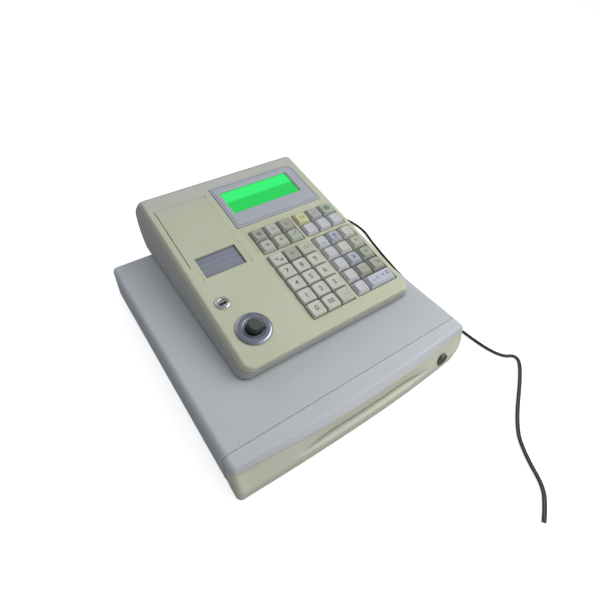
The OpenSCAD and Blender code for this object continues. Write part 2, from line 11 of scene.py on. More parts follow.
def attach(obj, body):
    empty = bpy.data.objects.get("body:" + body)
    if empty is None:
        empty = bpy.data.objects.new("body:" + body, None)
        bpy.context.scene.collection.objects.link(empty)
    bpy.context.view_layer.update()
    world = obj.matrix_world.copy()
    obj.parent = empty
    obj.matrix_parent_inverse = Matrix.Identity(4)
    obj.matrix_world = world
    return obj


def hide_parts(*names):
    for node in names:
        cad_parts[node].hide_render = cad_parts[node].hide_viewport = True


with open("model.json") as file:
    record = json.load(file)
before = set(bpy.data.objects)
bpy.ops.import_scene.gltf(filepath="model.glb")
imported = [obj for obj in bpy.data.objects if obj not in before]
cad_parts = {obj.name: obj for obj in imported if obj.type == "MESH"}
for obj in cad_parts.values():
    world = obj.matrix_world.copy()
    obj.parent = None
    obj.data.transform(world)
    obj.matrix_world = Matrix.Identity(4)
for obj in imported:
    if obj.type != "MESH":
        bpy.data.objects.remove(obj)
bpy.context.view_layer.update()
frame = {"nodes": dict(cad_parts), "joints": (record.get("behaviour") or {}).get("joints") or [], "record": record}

# ---------------------------------------------------------------- measures, in millimetres

MM = 0.001
CASE_W, CASE_FRONT, CASE_BACK = 308.0, -160.5, 160.5
CASE_BOTTOM, CASE_TOP = 3.5, 47.0
CASE_EDGE = 6.5
HEADER_Z, HEADER_D = 38.4, 19.3
WALL, LEFT_R, RIGHT_R = 2.5, 6.0, 5.0
FRONT_BACK = CASE_FRONT + 12
BODY_HALF, BODY_X, BODY_Z0 = 112.0, 17.0, 47.02
FLARE, FLARE_DROP, FRONT_STEP = 6.7, 19.0, 3.1
EDGE_R, CORNER_R, BROW_R, DRUM_R = 2.4, 12.0, 14.0, 47.5
RIM_H = 7.2
MODE = (-81.4, 39.8)
CLERK = (-94.7, 84.0)
LID = (-104.0, -35.0, 122.6, 244.0)
HINGE_R = 2.2
LID_JOG = -98.2
WINDOW = (-94.0, -42.0, 122.6, 154.5)
BEZEL = (-25.5, 102.0, 174.0, 252.5)
BEZEL_R = [1.5, 1.5, 9, 1.5]
SCREEN = (-15.5, 86.0, 199.5, 240.5)
WELLS = [
    (x, x + 60.5, s0, s1) for x in (-18.75, 45.45) for s0, s1 in ((17.15, 117.25), (121.75, 162.25))
]
WELL_SINK = 6.4
LOCK_X, LOCK_Z = 112.0, 21.0
CORD_X, CORD_Z = BODY_X + 70, BODY_Z0 + 12
KEY_TOP, KEY_RIM, SHOULDER = 4.0, -2.4, 0.75
SHARP_ANGLE = 38

# The sloping top: x from the body's centre, s up the slope, n off the slope
_joints = {j["name"]: j for j in frame["joints"]}
OFF = Vector(_joints["mode_lock_turn"]["axis"]).normalized()
RIGHT = Vector((1, 0, 0))
UP = OFF.cross(RIGHT).normalized()
ORIGIN = Vector(_joints["mode_lock_turn"]["pos_m"]) / MM - RIGHT * MODE[0] - UP * MODE[1]


def on_slope(x, s, n):
    return ORIGIN + RIGHT * x + UP * s + OFF * n


def to_slope(p):
    d = p - ORIGIN
    return d.dot(RIGHT), d.dot(UP), d.dot(OFF)


def upright(x, y, z):
    return Vector((x, y, z))


# ---------------------------------------------------------------- shapes

def lerp(a, b, t):
    return a + (b - a) * t


def smoothstep(t):
    t = min(max(t, 0.0), 1.0)
    return t * t * (3 - 2 * t)


def turns(*degrees):
    return [math.radians(a) for a in degrees]


def rect_ring(x0, x1, y0, y1, radii, steps=6):
    """Rectangle with round corners, anticlockwise; radii from the low corner round."""
    if not isinstance(radii, (list, tuple)):
        radii = [radii] * 4
    corners = [(x0, y0, 1, 1, 180), (x1, y0, -1, 1, 270), (x1, y1, -1, -1, 0), (x0, y1, 1, -1, 90)]
    ring = []
    for (cx, cy, sx, sy, start), r in zip(corners, radii):
        for k in range(steps + 1):
            a = math.radians(start + 90 * k / steps)
            ring.append((cx + sx * r + r * math.cos(a), cy + sy * r + r * math.sin(a)))
    return ring


def loft(rings, start=True, end=True):
    """Skin over rings with the same number of points; returns points and faces."""
    count = len(rings[0])
    points = [Vector(p) for ring in rings for p in ring]
    faces = []
    for k in range(len(rings) - 1):
        a, b = k * count, (k + 1) * count
        for i in range(count):
            j = (i + 1) % count
            faces.append((a + i, a + j, b + j, b + i))
    if start:
        faces.append(tuple(reversed(range(count))))
    if end:
        faces.append(tuple(range((len(rings) - 1) * count, len(rings) * count)))
    return points, faces


def inner_radii(plan_r, inset):
    """Corner radius, or list of four, of an outline moved inwards."""
    if isinstance(plan_r, (list, tuple)):
        return [max(r - inset, 0.02) for r in plan_r]
    return max(plan_r - inset, 0.02)


def slab(x0, x1, y0, y1, z0, z1, plan_r=1.0, top_r=0.5, low_r=0.3, place=upright, steps=5):
    """Block with round vertical edges and rounded top and bottom rims."""
    levels = [(low_r * (1 - math.sin(a)), z0 + low_r * (1 - math.cos(a))) for a in turns(0, 30, 60, 90)]
    levels += [(top_r * (1 - math.cos(a)), z1 - top_r * (1 - math.sin(a))) for a in turns(0, 22, 45, 68, 90)]
    rings = []
    for inset, z in levels:
        ring = rect_ring(x0 + inset, x1 - inset, y0 + inset, y1 - inset, inner_radii(plan_r, inset), steps)
        rings.append([place(x, y, z) for x, y in ring])
    return loft(rings)


def lipped(x0, x1, y0, y1, z0, lip, plan_r=1.0, place=upright, steps=5, high=2.0):
    """Cutter whose rim flares out, which leaves a rounded lip on the face at height 0."""
    levels = [(z0, 0.0)] + [(lip * (math.sin(a) - 1), lip * (1 - math.cos(a))) for a in turns(0, 25, 50, 75)]
    levels.append((high, levels[-1][1] + high))
    rings = []
    for z, out in levels:
        ring = rect_ring(x0 - out, x1 + out, y0 - out, y1 + out, inner_radii(plan_r, -out), steps)
        rings.append([place(x, y, z) for x, y in ring])
    return loft(rings)


def lathe(profile, centre, axis, across, steps=64, closed=False):
    """Turns a profile of (radius, height) pairs round an axis through centre."""
    axis = Vector(axis).normalized()
    u = Vector(across).normalized()
    v = axis.cross(u)
    rings = []
    for r, h in profile:
        rings.append([
            Vector(centre) + axis * h + (u * math.cos(t) + v * math.sin(t)) * r
            for t in (2 * math.pi * k / steps for k in range(steps))
        ])
    if closed:
        rings.append(rings[0])
        return loft(rings, False, False)
    return loft(rings)


def rod(r, low, high, centre, axis, across, steps):
    """Plain cylinder from low to high on an axis; most of them cut a bore."""
    return lathe([(r, low), (r, high)], centre, axis, across, steps)


def arc_corner(before, here, after, cut, steps):
    """Points that round one corner of a path, starting cut away from it on both sides."""
    p, q = here + (before - here).normalized() * cut, here + (after - here).normalized() * cut
    return [p * (1 - t) ** 2 + here * 2 * t * (1 - t) + q * t * t for t in (k / steps for k in range(steps + 1))]


def round_profile(profile, r=0.3, steps=3):
    """Rounds every corner between the two ends of a profile of (radius, height) pairs."""
    out = [profile[0]]
    for a, b, c in zip(profile, profile[1:], profile[2:]):
        a, b, c = Vector(a), Vector(b), Vector(c)
        size = min(r, (a - b).length * 0.45, (c - b).length * 0.45)
        out += [tuple(p) for p in arc_corner(a, b, c, size, steps)]
    out.append(profile[-1])
    return out


def smooth_path(points, rounds):
    """Cuts a path's corners again and again until it runs as a curve."""
    for _ in range(rounds):
        cut = [points[0]]
        for a, b in zip(points, points[1:]):
            cut += [a.lerp(b, 0.25), a.lerp(b, 0.75)]
        points = cut + [points[-1]]
    return points


# ---------------------------------------------------------------- objects

def mesh_object(name, *solids):
    """One object from one or more (points, faces) solids."""
    points, faces = [], []
    for p, f in solids:
        base = len(points)
        points += [Vector(q) * MM for q in p]
        faces += [tuple(base + i for i in face) for face in f]
    mesh = bpy.data.meshes.new(name)
    mesh.from_pydata(points, [], faces)
    bm = bmesh.new()
    bm.from_mesh(mesh)
    bmesh.ops.remove_doubles(bm, verts=bm.verts, dist=2e-7)
    bmesh.ops.recalc_face_normals(bm, faces=bm.faces)
    bm.to_mesh(mesh)
    bm.free()
    obj = bpy.data.objects.new(name, mesh)
    bpy.context.scene.collection.objects.link(obj)
    return obj


def bake(obj):
    """Applies an object's modifiers."""
    bpy.context.view_layer.update()
    graph = bpy.context.evaluated_depsgraph_get()
    mesh = bpy.data.meshes.new_from_object(obj.evaluated_get(graph))
    obj.modifiers.clear()
    old, obj.data = obj.data, mesh
    bpy.data.meshes.remove(old)
    return obj


def boolean(obj, operation, *others):
    for other in others:
        mod = obj.modifiers.new(operation, "BOOLEAN")
        mod.operation, mod.object, mod.solver = operation, other, "EXACT"
    bake(obj)
    for other in others:
        bpy.data.objects.remove(other)
    return obj


def cut(obj, *solids):
    """Cuts away solids, which must not overlap within one call."""
    return boolean(obj, "DIFFERENCE", mesh_object("cutter", *solids))


def join(name, parts):
    """Joins (object, material) pairs into one object with a material slot each."""
    bm = bmesh.new()
    mats = []
    for obj, mat in parts:
        if mat not in mats:
            mats.append(mat)
        for poly in obj.data.polygons:
            poly.material_index = mats.index(mat)
        bm.from_mesh(obj.data)
        bpy.data.objects.remove(obj)
    mesh = bpy.data.meshes.new(name)
    bm.to_mesh(mesh)
    bm.free()
    for mat in mats:
        mesh.materials.append(mat)
    whole = bpy.data.objects.new(name, mesh)
    bpy.context.scene.collection.objects.link(whole)
    return whole


def smooth(obj):
    obj.data.polygons.foreach_set("use_smooth", [True] * len(obj.data.polygons))


def piece(obj, body, slot, *nodes, mat=None):
    """Shades an object, lets it ride on its body and stand for its CAD nodes."""
    if mat:
        obj.data.materials.append(mat)
    smooth(obj)
    obj.data.set_sharp_from_angle(angle=math.radians(SHARP_ANGLE))
    mod = obj.modifiers.new("normals", "WEIGHTED_NORMAL")
    mod.keep_sharp = True
    mod.weight = 60
    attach(obj, body)
    if nodes:
        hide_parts(*nodes)
    return obj


def dress(node, mat, bevel):
    """Gives a carried CAD node its material and rounded edges."""
    obj = frame["nodes"][node]
    obj.data.materials.clear()
    obj.data.materials.append(mat)
    smooth(obj)
    weld = obj.modifiers.new("weld", "WELD")
    weld.merge_threshold = 2e-6
    mod = obj.modifiers.new("bevel", "BEVEL")
    mod.width, mod.segments = bevel * MM, 2
    mod.limit_method, mod.angle_limit = "ANGLE", math.radians(32)
    mod.harden_normals = True
    return obj


# ---------------------------------------------------------------- materials

def linear(*srgb):
    return tuple(
        (c / 255 / 12.92 if c <= 10 else ((c / 255 + 0.055) / 1.055) ** 2.4) for c in srgb
    ) + (1.0,)


class Shader:
    """A material's node tree, built up a step at a time."""

    def __init__(self, name):
        self.material = bpy.data.materials.new(name)
        self.material.use_nodes = True
        self.tree = self.material.node_tree
        self.bsdf = self.tree.nodes["Principled BSDF"]
        self.coord = self.node("ShaderNodeTexCoord").outputs["Object"]

    def node(self, kind, **settings):
        made = self.tree.nodes.new(kind)
        for key, value in settings.items():
            if hasattr(made, key):
                setattr(made, key, value)
            else:
                made.inputs[key.replace("_", " ")].default_value = value
        return made

    def link(self, source, target):
        self.tree.links.new(source, target)

    def base(self, source):
        self.link(source, self.bsdf.inputs["Base Color"])

    def rough(self, source):
        self.link(source, self.bsdf.inputs["Roughness"])

    def place(self, axis):
        """Position along one axis, in metres."""
        split = self.node("ShaderNodeSeparateXYZ")
        self.link(self.coord, split.inputs["Vector"])
        return split.outputs[axis]

    def noise(self, scale, detail=3.0, stretch=None):
        made = self.node("ShaderNodeTexNoise", Scale=scale, Detail=detail, Roughness=0.6)
        source = self.coord
        if stretch:
            mapping = self.node("ShaderNodeMapping", Scale=stretch)
            self.link(source, mapping.inputs["Vector"])
            source = mapping.outputs["Vector"]
        self.link(source, made.inputs["Vector"])
        return made.outputs["Fac"]

    def remap(self, value, a, b, c, d):
        made = self.node("ShaderNodeMapRange")
        for i, v in zip((1, 2, 3, 4), (a, b, c, d)):
            made.inputs[i].default_value = v
        self.link(value, made.inputs[0])
        return made.outputs[0]

    def math(self, operation, a, b):
        made = self.node("ShaderNodeMath", operation=operation)
        for i, v in enumerate((a, b)):
            if isinstance(v, (int, float)):
                made.inputs[i].default_value = v
            else:
                self.link(v, made.inputs[i])
        return made.outputs[0]

    def mix(self, factor, a, b):
        made = self.node("ShaderNodeMix", data_type="RGBA")
        for i, v in ((0, factor), (6, a), (7, b)):
            if isinstance(v, (int, float, tuple)):
                made.inputs[i].default_value = v
            else:
                self.link(v, made.inputs[i])
        return made.outputs[2]

    def occlusion(self, distance, samples=6):
        made = self.node("ShaderNodeAmbientOcclusion", samples=samples)
        made.inputs["Distance"].default_value = distance * MM
        return made.outputs["AO"]

    def edges(self):
        return self.node("ShaderNodeNewGeometry").outputs["Pointiness"]

    def bump(self, height, strength, distance):
        made = self.node("ShaderNodeBump", Strength=strength)
        made.inputs["Distance"].default_value = distance * MM
        self.link(height, made.inputs["Height"])
        if self.bsdf.inputs["Normal"].links:
            self.link(self.bsdf.inputs["Normal"].links[0].from_socket, made.inputs["Normal"])
        self.link(made.outputs["Normal"], self.bsdf.inputs["Normal"])


COOL = (1.0, 0.99, 0.95)  # ageing tint of the grey parts
REAR_SHEEN_DEPTHS = (0.128, 0.176)  # depths in metres between which the cream parts turn greyer, a painted sheen


def shade(colour, factor, tint=(1, 1, 1)):
    return tuple(min(c * factor * t, 1.0) for c, t in zip(colour[:3], tint)) + (1.0,)


def plastic(name, colour, rough=0.5, grain=0.35, painted_shade=0.55, reach=5.0, wear_and_highlight=0.25, aged=0.5,
            tint=(1.0, 0.97, 0.86), specular=0.4, rear_sheen=None):
    """Moulded plastic: ageing in soft patches, painted shade, tinted brownish, in the corners and gaps, edges
    lightened partly as rubbed wear and partly as a painted highlight, fine grain, and if asked a painted sheen that
    greys the colour towards the rear.
    """
    s, colour = Shader(name), linear(*colour)
    patches = s.remap(s.noise(9, 4), 0.38, 0.68, 0, 1)
    base = s.mix(s.math("MULTIPLY", patches, aged), colour, shade(colour, 0.93, tint))
    # painted sheen: past the given depths the colour turns greyer towards the rear brow
    if rear_sheen:
        base = s.mix(s.remap(s.place("Y"), *REAR_SHEEN_DEPTHS, 0, 0.85), base, linear(*rear_sheen))
    fine = s.remap(s.noise(160, 5), 0.3, 0.7, 0, 1)
    base = s.mix(s.math("MULTIPLY", fine, 0.22), base, shade(colour, 1.07))
    specks = s.remap(s.noise(900, 2), 0.70, 0.78, 0, 0.30)
    base = s.mix(specks, base, shade(colour, 0.55, (1, 0.95, 0.85)))
    # painted shade: darker, brownish colour where the surface is occluded, in corners, gaps and recesses
    corner_shade = s.remap(s.occlusion(reach), 0.35, 0.95, painted_shade, 0)
    base = s.mix(corner_shade, base, shade(colour, 0.30, (1, 0.97, 0.84)))
    # convex edges lightened: partly rubbed wear, partly a painted highlight on creases and rims
    bright_edges = s.math("MULTIPLY", s.remap(s.edges(), 0.515, 0.60, 0, wear_and_highlight), s.remap(s.noise(70, 4), 0.35, 0.7, 0.2, 1))
    base = s.mix(bright_edges, base, shade(colour, 1.25, (1, 1, 1.04)))
    s.base(base)
    uneven = s.remap(s.noise(38, 5), 0.3, 0.75, rough - 0.07, rough + 0.09)
    s.rough(uneven)
    s.bsdf.inputs["Specular IOR Level"].default_value = specular
    s.bump(s.noise(2600, 2), grain, 0.05)
    s.bump(s.noise(26, 3), 0.12, 0.25)
    return s.material


def metal(name, colour, rough=0.28):
    """Plated metal with fine scratches, tarnish in patches and painted shade in its corners."""
    s, colour = Shader(name), linear(*colour)
    tarnish = s.remap(s.noise(120, 5), 0.4, 0.7, 0, 0.45)
    base = s.mix(tarnish, colour, shade(colour, 0.68, (1, 0.98, 0.93)))
    # painted shade in the ring's corners and recesses
    corner_shade = s.remap(s.occlusion(3.0), 0.3, 0.9, 0.5, 0)
    base = s.mix(corner_shade, base, shade(colour, 0.18))
    bright_edges = s.remap(s.edges(), 0.53, 0.62, 0, 0.5)
    base = s.mix(bright_edges, base, shade(colour, 1.35))
    s.base(base)
    s.bsdf.inputs["Metallic"].default_value = 1.0
    scratches = s.noise(500, 4, (1.0, 6.0, 1.0))
    s.rough(s.remap(scratches, 0.3, 0.75, rough - 0.08, rough + 0.16))
    s.bump(scratches, 0.2, 0.02)
    return s.material


def ink(name, *srgb):
    """Printed mark, a little worn."""
    s, colour = Shader(name), linear(*srgb)
    worn = s.remap(s.noise(600, 4), 0.5, 0.75, 0, 0.4)
    s.base(s.mix(worn, colour, shade(colour, 1.9)))
    s.rough(s.remap(s.noise(300, 3), 0.3, 0.7, 0.4, 0.6))
    s.bump(s.noise(1500, 2), 0.2, 0.01)
    return s.material


# the greyer rear of the two cream plastics below is a painted sheen
CREAM = plastic("cream_plastic", (184, 187, 166), rough=0.47, aged=0.7, painted_shade=0.25, reach=3.0, rear_sheen=(174, 176, 178))
LID_CREAM = plastic("lid_plastic", (182, 185, 164), rough=0.47, aged=0.8, painted_shade=0.3, reach=2.5, rear_sheen=(174, 176, 178))
FRONT_CREAM = plastic("front_plastic", (192, 193, 180), rough=0.42, aged=0.5)
CASE = plastic("case_plastic", (180, 184, 190), rough=0.42, tint=COOL, aged=0.4)
# the header's strong edge lightening paints a highlight along its crease
HEADER = plastic("header_plastic", (181, 184, 190), rough=0.38, tint=COOL, aged=0.3, wear_and_highlight=0.6, painted_shade=0.35)
LOWER = plastic("lower_plastic", (163, 164, 164), rough=0.5, aged=0.4)
BEZEL_MAT = plastic("bezel_plastic", (164, 168, 177), rough=0.33, tint=(0.98, 0.98, 1.0), grain=0.15)
BLACK = plastic("rotor_plastic", (33, 35, 35), rough=0.42, painted_shade=0.8, specular=0.5)
RUBBER = plastic("foot_rubber", (38, 38, 40), rough=0.75, grain=0.6)
CORD = plastic("cord_jacket", (15, 15, 16), rough=0.42, grain=0.2, specular=0.5)
BOX = plastic("box_plastic", (150, 155, 160), rough=0.5)
TRAY = plastic("tray_plastic", (78, 81, 86), rough=0.5)
RING = metal("ring_metal", (148, 152, 166), rough=0.33)
CHROME = metal("lock_chrome", (214, 214, 216), rough=0.16)
DARK_LOCK = metal("dark_lock", (104, 106, 98), rough=0.42)
DIGITS = ink("digit_ink", 92, 92, 86)
STRONG = ink("strong_ink", 58, 58, 56)
FAINT = ink("faint_ink", 150, 150, 142)
PURPLE = ink("purple_ink", 84, 80, 150)
GREEN_INK = ink("green_ink", 62, 120, 92)
MOSS_INK = ink("moss_ink", 96, 112, 76)
OLIVE_INK = ink("olive_ink", 132, 132, 78)


def key_plastic(name, *srgb):
    return plastic("key_" + name, srgb, rough=0.46, painted_shade=0.35, reach=3.0, aged=0.35, wear_and_highlight=0.45)


WHITE = key_plastic("white", 186, 188, 180)
LAVENDER = key_plastic("lavender", 184, 186, 190)
PINKISH = key_plastic("pinkish", 178, 177, 172)
SAND = key_plastic("cream", 176, 178, 165)
GREY = key_plastic("grey", 156, 158, 151)
LILAC_GREY = key_plastic("lilac_grey", 165, 166, 163)
YELLOW = key_plastic("yellow", 192, 193, 152)
PALE_GREEN = key_plastic("pale_green", 168, 173, 163)
GREEN_GREY = key_plastic("green_grey", 156, 160, 151)
BLUE = key_plastic("blue", 165, 168, 178)
LILAC = key_plastic("lilac", 177, 181, 196)

# ---------------------------------------------------------------- drawer case

def tunnel_ring(y, inset, low=CASE_BOTTOM):
    """Cross-section of the case at one depth: flat bottom, rounded upper edges."""
    half, top, r = CASE_W / 2 - inset, CASE_TOP - inset, max(CASE_EDGE - inset, 0.5)
    return [upright(x, y, z) for x, z in rect_ring(-half, half, low, top, [0.6, 0.6, r, r], 9)]


def case_cover():
    seam = CASE_FRONT + HEADER_D + 0.25
    rings = [tunnel_ring(seam, 0.3), tunnel_ring(seam + 0.1, 0.1), tunnel_ring(seam + 0.3, 0.0)]
    rings += [tunnel_ring(lerp(seam, CASE_BACK - 6, t), 0.0) for t in (0.33, 0.66, 1.0)]
    for k in range(1, 8):
        a = math.radians(90 * k / 7)
        rings.append(tunnel_ring(CASE_BACK - 6 + 6 * math.sin(a), 6 * (1 - math.cos(a))))
    cover = mesh_object("case_cover", loft(rings))
    cut(cover, loft([tunnel_ring(y, WALL, CASE_BOTTOM - 3) for y in (seam - 5, CASE_BACK - WALL)]))
    piece(cover, "register", "case_grey", "drawer_cover", mat=CASE)


def corner_recess(x, right=RIGHT_R):
    """How far the rounded front corners of the case fall back at one side position."""
    r = LEFT_R if x < 0 else right
    over = max(abs(x) - (CASE_W / 2 - r), 0)
    return min(r - math.sqrt(max(r * r - over * over, 0)), 10.5)


def side_places(reach, middle):
    """Positions from side to side, close together where the corners turn."""
    left = [-reach + LEFT_R * (1 - math.sin(a)) for a in turns(*range(90, 0, -8))]
    right = [reach - RIGHT_R * (1 - math.sin(a)) for a in turns(*range(2, 91, 8))]
    return left + middle + right


def bow(x):
    """How much of the front's bow is used up at one side position: 0 in the middle, 1 near the ends."""
    return (min(abs(x), 142) / 142) ** 2


def band_lead(x):
    """How far the band under the header stands in front of the case."""
    return 5 - 7 * bow(x)


def lip_lead(x):
    """How far the lip, the foremost part of the drawer, stands in front of the case."""
    return 10.9 - (3.0 if x < 0 else 6.2) * bow(x)


def header_ring(x):
    """Header section at one side position: a crease, then a face that runs down to the drawer's band."""
    over = max(abs(x) - (CASE_W / 2 - CASE_EDGE), 0)
    high = max(CASE_TOP - CASE_EDGE + math.sqrt(max(CASE_EDGE ** 2 - over ** 2, 0)) - HEADER_Z, 0.5)
    back, recess = CASE_FRONT + HEADER_D, corner_recess(x)
    foot = CASE_FRONT - band_lead(x) + 0.15 + recess
    crest = CASE_FRONT + 0.7 + 3.8 * bow(x) + recess
    outline = [
        (back, 0.0), (back, 0.95), (back - 0.4, 1.0),
        (crest + 4.0, 0.97), (crest + 1.1, 0.94), (crest + 0.4, 0.915), (crest, 0.86),
        (lerp(crest, foot, 0.25), 0.70), (lerp(crest, foot, 0.62), 0.42), (foot, 0.1),
        (foot + 0.25, 0.03), (foot + 0.8, 0.0),
    ]
    return [upright(x, y, HEADER_Z + high * up) for y, up in outline]


def case_base():
    xs = side_places(CASE_W / 2 - 0.2, [-147 + i * 14 for i in range(22)])
    header = mesh_object("header", loft([header_ring(x) for x in xs]))
    base_x = CASE_W / 2 - WALL - 0.3
    y0, y1 = FRONT_BACK + 1, CASE_BACK - WALL - 0.3
    shell = [slab(-base_x, base_x, y0, y1, CASE_BOTTOM, 5.5, 1.0, 0.3, 0.3)]
    for side in (-1, 1):
        lo, hi = sorted((side * base_x, side * (base_x - 2)))
        shell.append(slab(lo, hi, y0, y1, 5.0, 37.4, 0.5, 0.3, 0.1))
        shell.append(slab(side * 120 - 5, side * 120 + 5, FRONT_BACK + 6, y1 - 8, 5.2, 6.2, 0.5, 0.25, 0.05))
        lo, hi = sorted((side * (CASE_W / 2 - 0.4), side * (CASE_W / 2 - 4.8)))
        shell.append(slab(lo, hi, FRONT_BACK + 1, CASE_FRONT + HEADER_D, CASE_BOTTOM, 39.0, 0.5, 0.2, 0.3))
    shell.append(slab(-base_x, base_x, y1 - 2, y1, 5.0, 37.4, 0.5, 0.3, 0.1))
    base = join("case_base", [(header, HEADER), (mesh_object("shell", *shell), CASE)])
    piece(base, "register", "case_grey", "drawer_base")


def case_feet():
    solids = []
    profile = round_profile([(0.01, 0), (5.5, 0), (6.0, 0.5), (7.4, 0.0), (8, 0.6), (8, 3.5), (0.01, 3.5)], 0.3)
    for x, y in [(0, 0)] + [(x, y) for x in (-129, 129) for y in (-135.5, 135.5)]:
        solids.append(lathe(profile, (x, y, 0), (0, 0, 1), (1, 0, 0), 40))
    piece(mesh_object("rubber_feet", *solids), "register", "rubber_black", "feet", mat=RUBBER)


# ---------------------------------------------------------------- drawer

def drawer_profile(x):
    """Section of the drawer's front: band, finger slot, bulging lip."""
    band, lip = band_lead(x), lip_lead(x)
    groove = smoothstep((x + 95) / 55) * smoothstep((92 - x) / 45)
    carved = [
        (35.8, band), (30.0, band + 0.2), (26.0, band + 0.3),
        (24.6, band + 0.1), (24.1, band - 0.4), (23.9, band - 1.2),
        (23.6, band - 4.4), (23.1, band - 5.0), (21.7, band - 5.0), (21.2, band - 4.6), (21.0, band - 3.5),
        (20.9, band + 0.5), (20.5, lerp(band, lip, 0.5)), (19.7, lip - 1.0), (18.5, lip - 0.2), (16.0, lip),
        (10.0, lip - 0.2), (5.6, lip - 0.7),
    ]
    front = []
    for z, lead in carved:
        plain = lerp(min(lead, lip) if z < 18 else lip - 0.1, band, min(max((z - 17) / 19, 0), 1))
        recess = corner_recess(x, lerp(23, 7, smoothstep((z - 4) / 28)))
        front.append((CASE_FRONT - lerp(plain, lead, groove) + recess, z))
    y0 = front[0][0]
    ring = [(FRONT_BACK, 37.7), (y0 + 1.6, 37.7), (y0 + 0.9, 37.45), (y0 + 0.2, 36.7)] + front
    yb = front[-1][0]
    ring += [(yb + 0.2, 4.8), (yb + 0.7, 4.2), (yb + 1.5, 4.0), (FRONT_BACK, 4.0)]
    return [upright(x, y, z) for y, z in ring]


def drawer_front():
    xs = side_places(CASE_W / 2, [-146 + i * 2.5 for i in range(118)])
    front = mesh_object("drawer_panel", loft([drawer_profile(x) for x in xs]))
    cut(front, rod(8.1, -40, 40, (LOCK_X, CASE_FRONT, LOCK_Z), (0, -1, 0), (1, 0, 0), 48))
    piece(front, "cash_drawer", "cream", "drawer_front", mat=FRONT_CREAM)


def drawer_lock():
    face = CASE_FRONT - lip_lead(LOCK_X) + 0.3
    centre = (LOCK_X, face, LOCK_Z)
    ring = [(6.35, -12), (6.35, -0.1), (6.6, 0.1), (7.6, 0.1), (8.0, -0.35), (8.0, -12), (6.35, -12)]
    turned = lathe(round_profile(ring, 0.15), centre, (0, -1, 0), (1, 0, 0), 56, closed=True)
    collar = mesh_object("lock_collar", turned)
    piece(collar, "cash_drawer", "lock_dark", mat=DARK_LOCK)
    plug = [(0.01, -16), (6.3, -16), (6.3, -0.5), (5.8, -0.1), (2.6, -0.1), (2.4, -0.35), (0.01, -0.35)]
    rotor = mesh_object("lock_plug", lathe(round_profile(plug, 0.2), centre, (0, -1, 0), (1, 0, 0), 56))
    cut(rotor, slab(LOCK_X - 0.7, LOCK_X + 0.7, face - 1, face + 4, LOCK_Z - 3.6, LOCK_Z + 3.6, 0.3, 0.2, 0.2))
    piece(rotor, "drawer_lock", "lock_dark", "drawer_lock", mat=DARK_LOCK)


# ---------------------------------------------------------------- register body

# The body's side view: its sloping top ends in a brow, which rolls over into a drum at the rear
FRONT_Y = ORIGIN.y
_up, _off = Vector((UP.y, UP.z)), Vector((OFF.y, OFF.z))
_corner = Vector((ORIGIN.y, ORIGIN.z))
DRUM = Vector((147.0, 84.0))
_reach = _corner - _off * BROW_R - DRUM
_along = _reach.dot(_up)
_run = math.sqrt(_along ** 2 - _reach.dot(_reach) + (DRUM_R - BROW_R) ** 2) - _along
BROW = DRUM + _reach + _up * _run
BROW_S = (BROW + _off * BROW_R - _corner).dot(_up)
NOSE_S = EDGE_R * (1 - UP.z) / UP.y
NOSE_Z = (_corner + _up * NOSE_S - _off * EDGE_R).y
DRUM_TURN = math.atan2(BROW.y - DRUM.y, BROW.x - DRUM.x)


def slope_z(y, n=0.0):
    """Height of the plane n off the sloping top at depth y."""
    return _corner.y + (y - _corner.x) * UP.z / UP.y + n / UP.y


def rear_point(angle, inset):
    centre, r = (BROW, BROW_R) if angle > DRUM_TURN else (DRUM, DRUM_R)
    return centre + Vector((math.cos(angle), math.sin(angle))) * (r - inset)


def rear_y(height, inset):
    """Depth at which the body's rear meets a surface given as height(y)."""
    low, high = math.radians(-75), math.radians(100)
    for _ in range(50):
        mid = (low + high) / 2
        p = rear_point(mid, inset)
        if p.y > height(p.x):
            high = mid
        else:
            low = mid
    return rear_point(low, inset).x


def half_width(n):
    """Half of the body's width n off the slope: the sides lean out, then turn upright."""
    drop, soft = max(-n, 0.0), 3.0
    lean = FLARE_DROP if drop > FLARE_DROP + soft else drop - max(drop - FLARE_DROP + soft, 0) ** 2 / (4 * soft)
    return BODY_HALF + FLARE * lean / FLARE_DROP


def body_ring(height, inset, shrink=0.0):
    """Outline of the body where it meets a surface given as height(y)."""
    y1 = rear_y(height, inset) - shrink
    step = max(0.0, NOSE_Z - height(FRONT_Y)) / (NOSE_Z - BODY_Z0)
    y0 = FRONT_Y + FRONT_STEP * step + inset + shrink
    half = BODY_HALF + 3.0
    ring = []
    for x, y in rect_ring(-half, half, y0, y1, inner_radii([CORNER_R, CORNER_R, 6.0, 6.0], inset), 10):
        z = height(y)
        wide = half_width((z - slope_z(y)) * UP.y) - inset - shrink
        ring.append(upright(BODY_X + x * wide / half, y, z))
    return ring


def lower_rings(inset, top_n, floor):
    """Outlines from the lower case's flat floor up to a plane top_n off the slope."""
    rings = []
    for k in range(13):
        t = k / 12
        rings.append(body_ring(lambda y, t=t: lerp(floor, slope_z(y, top_n), t), inset))
    return rings


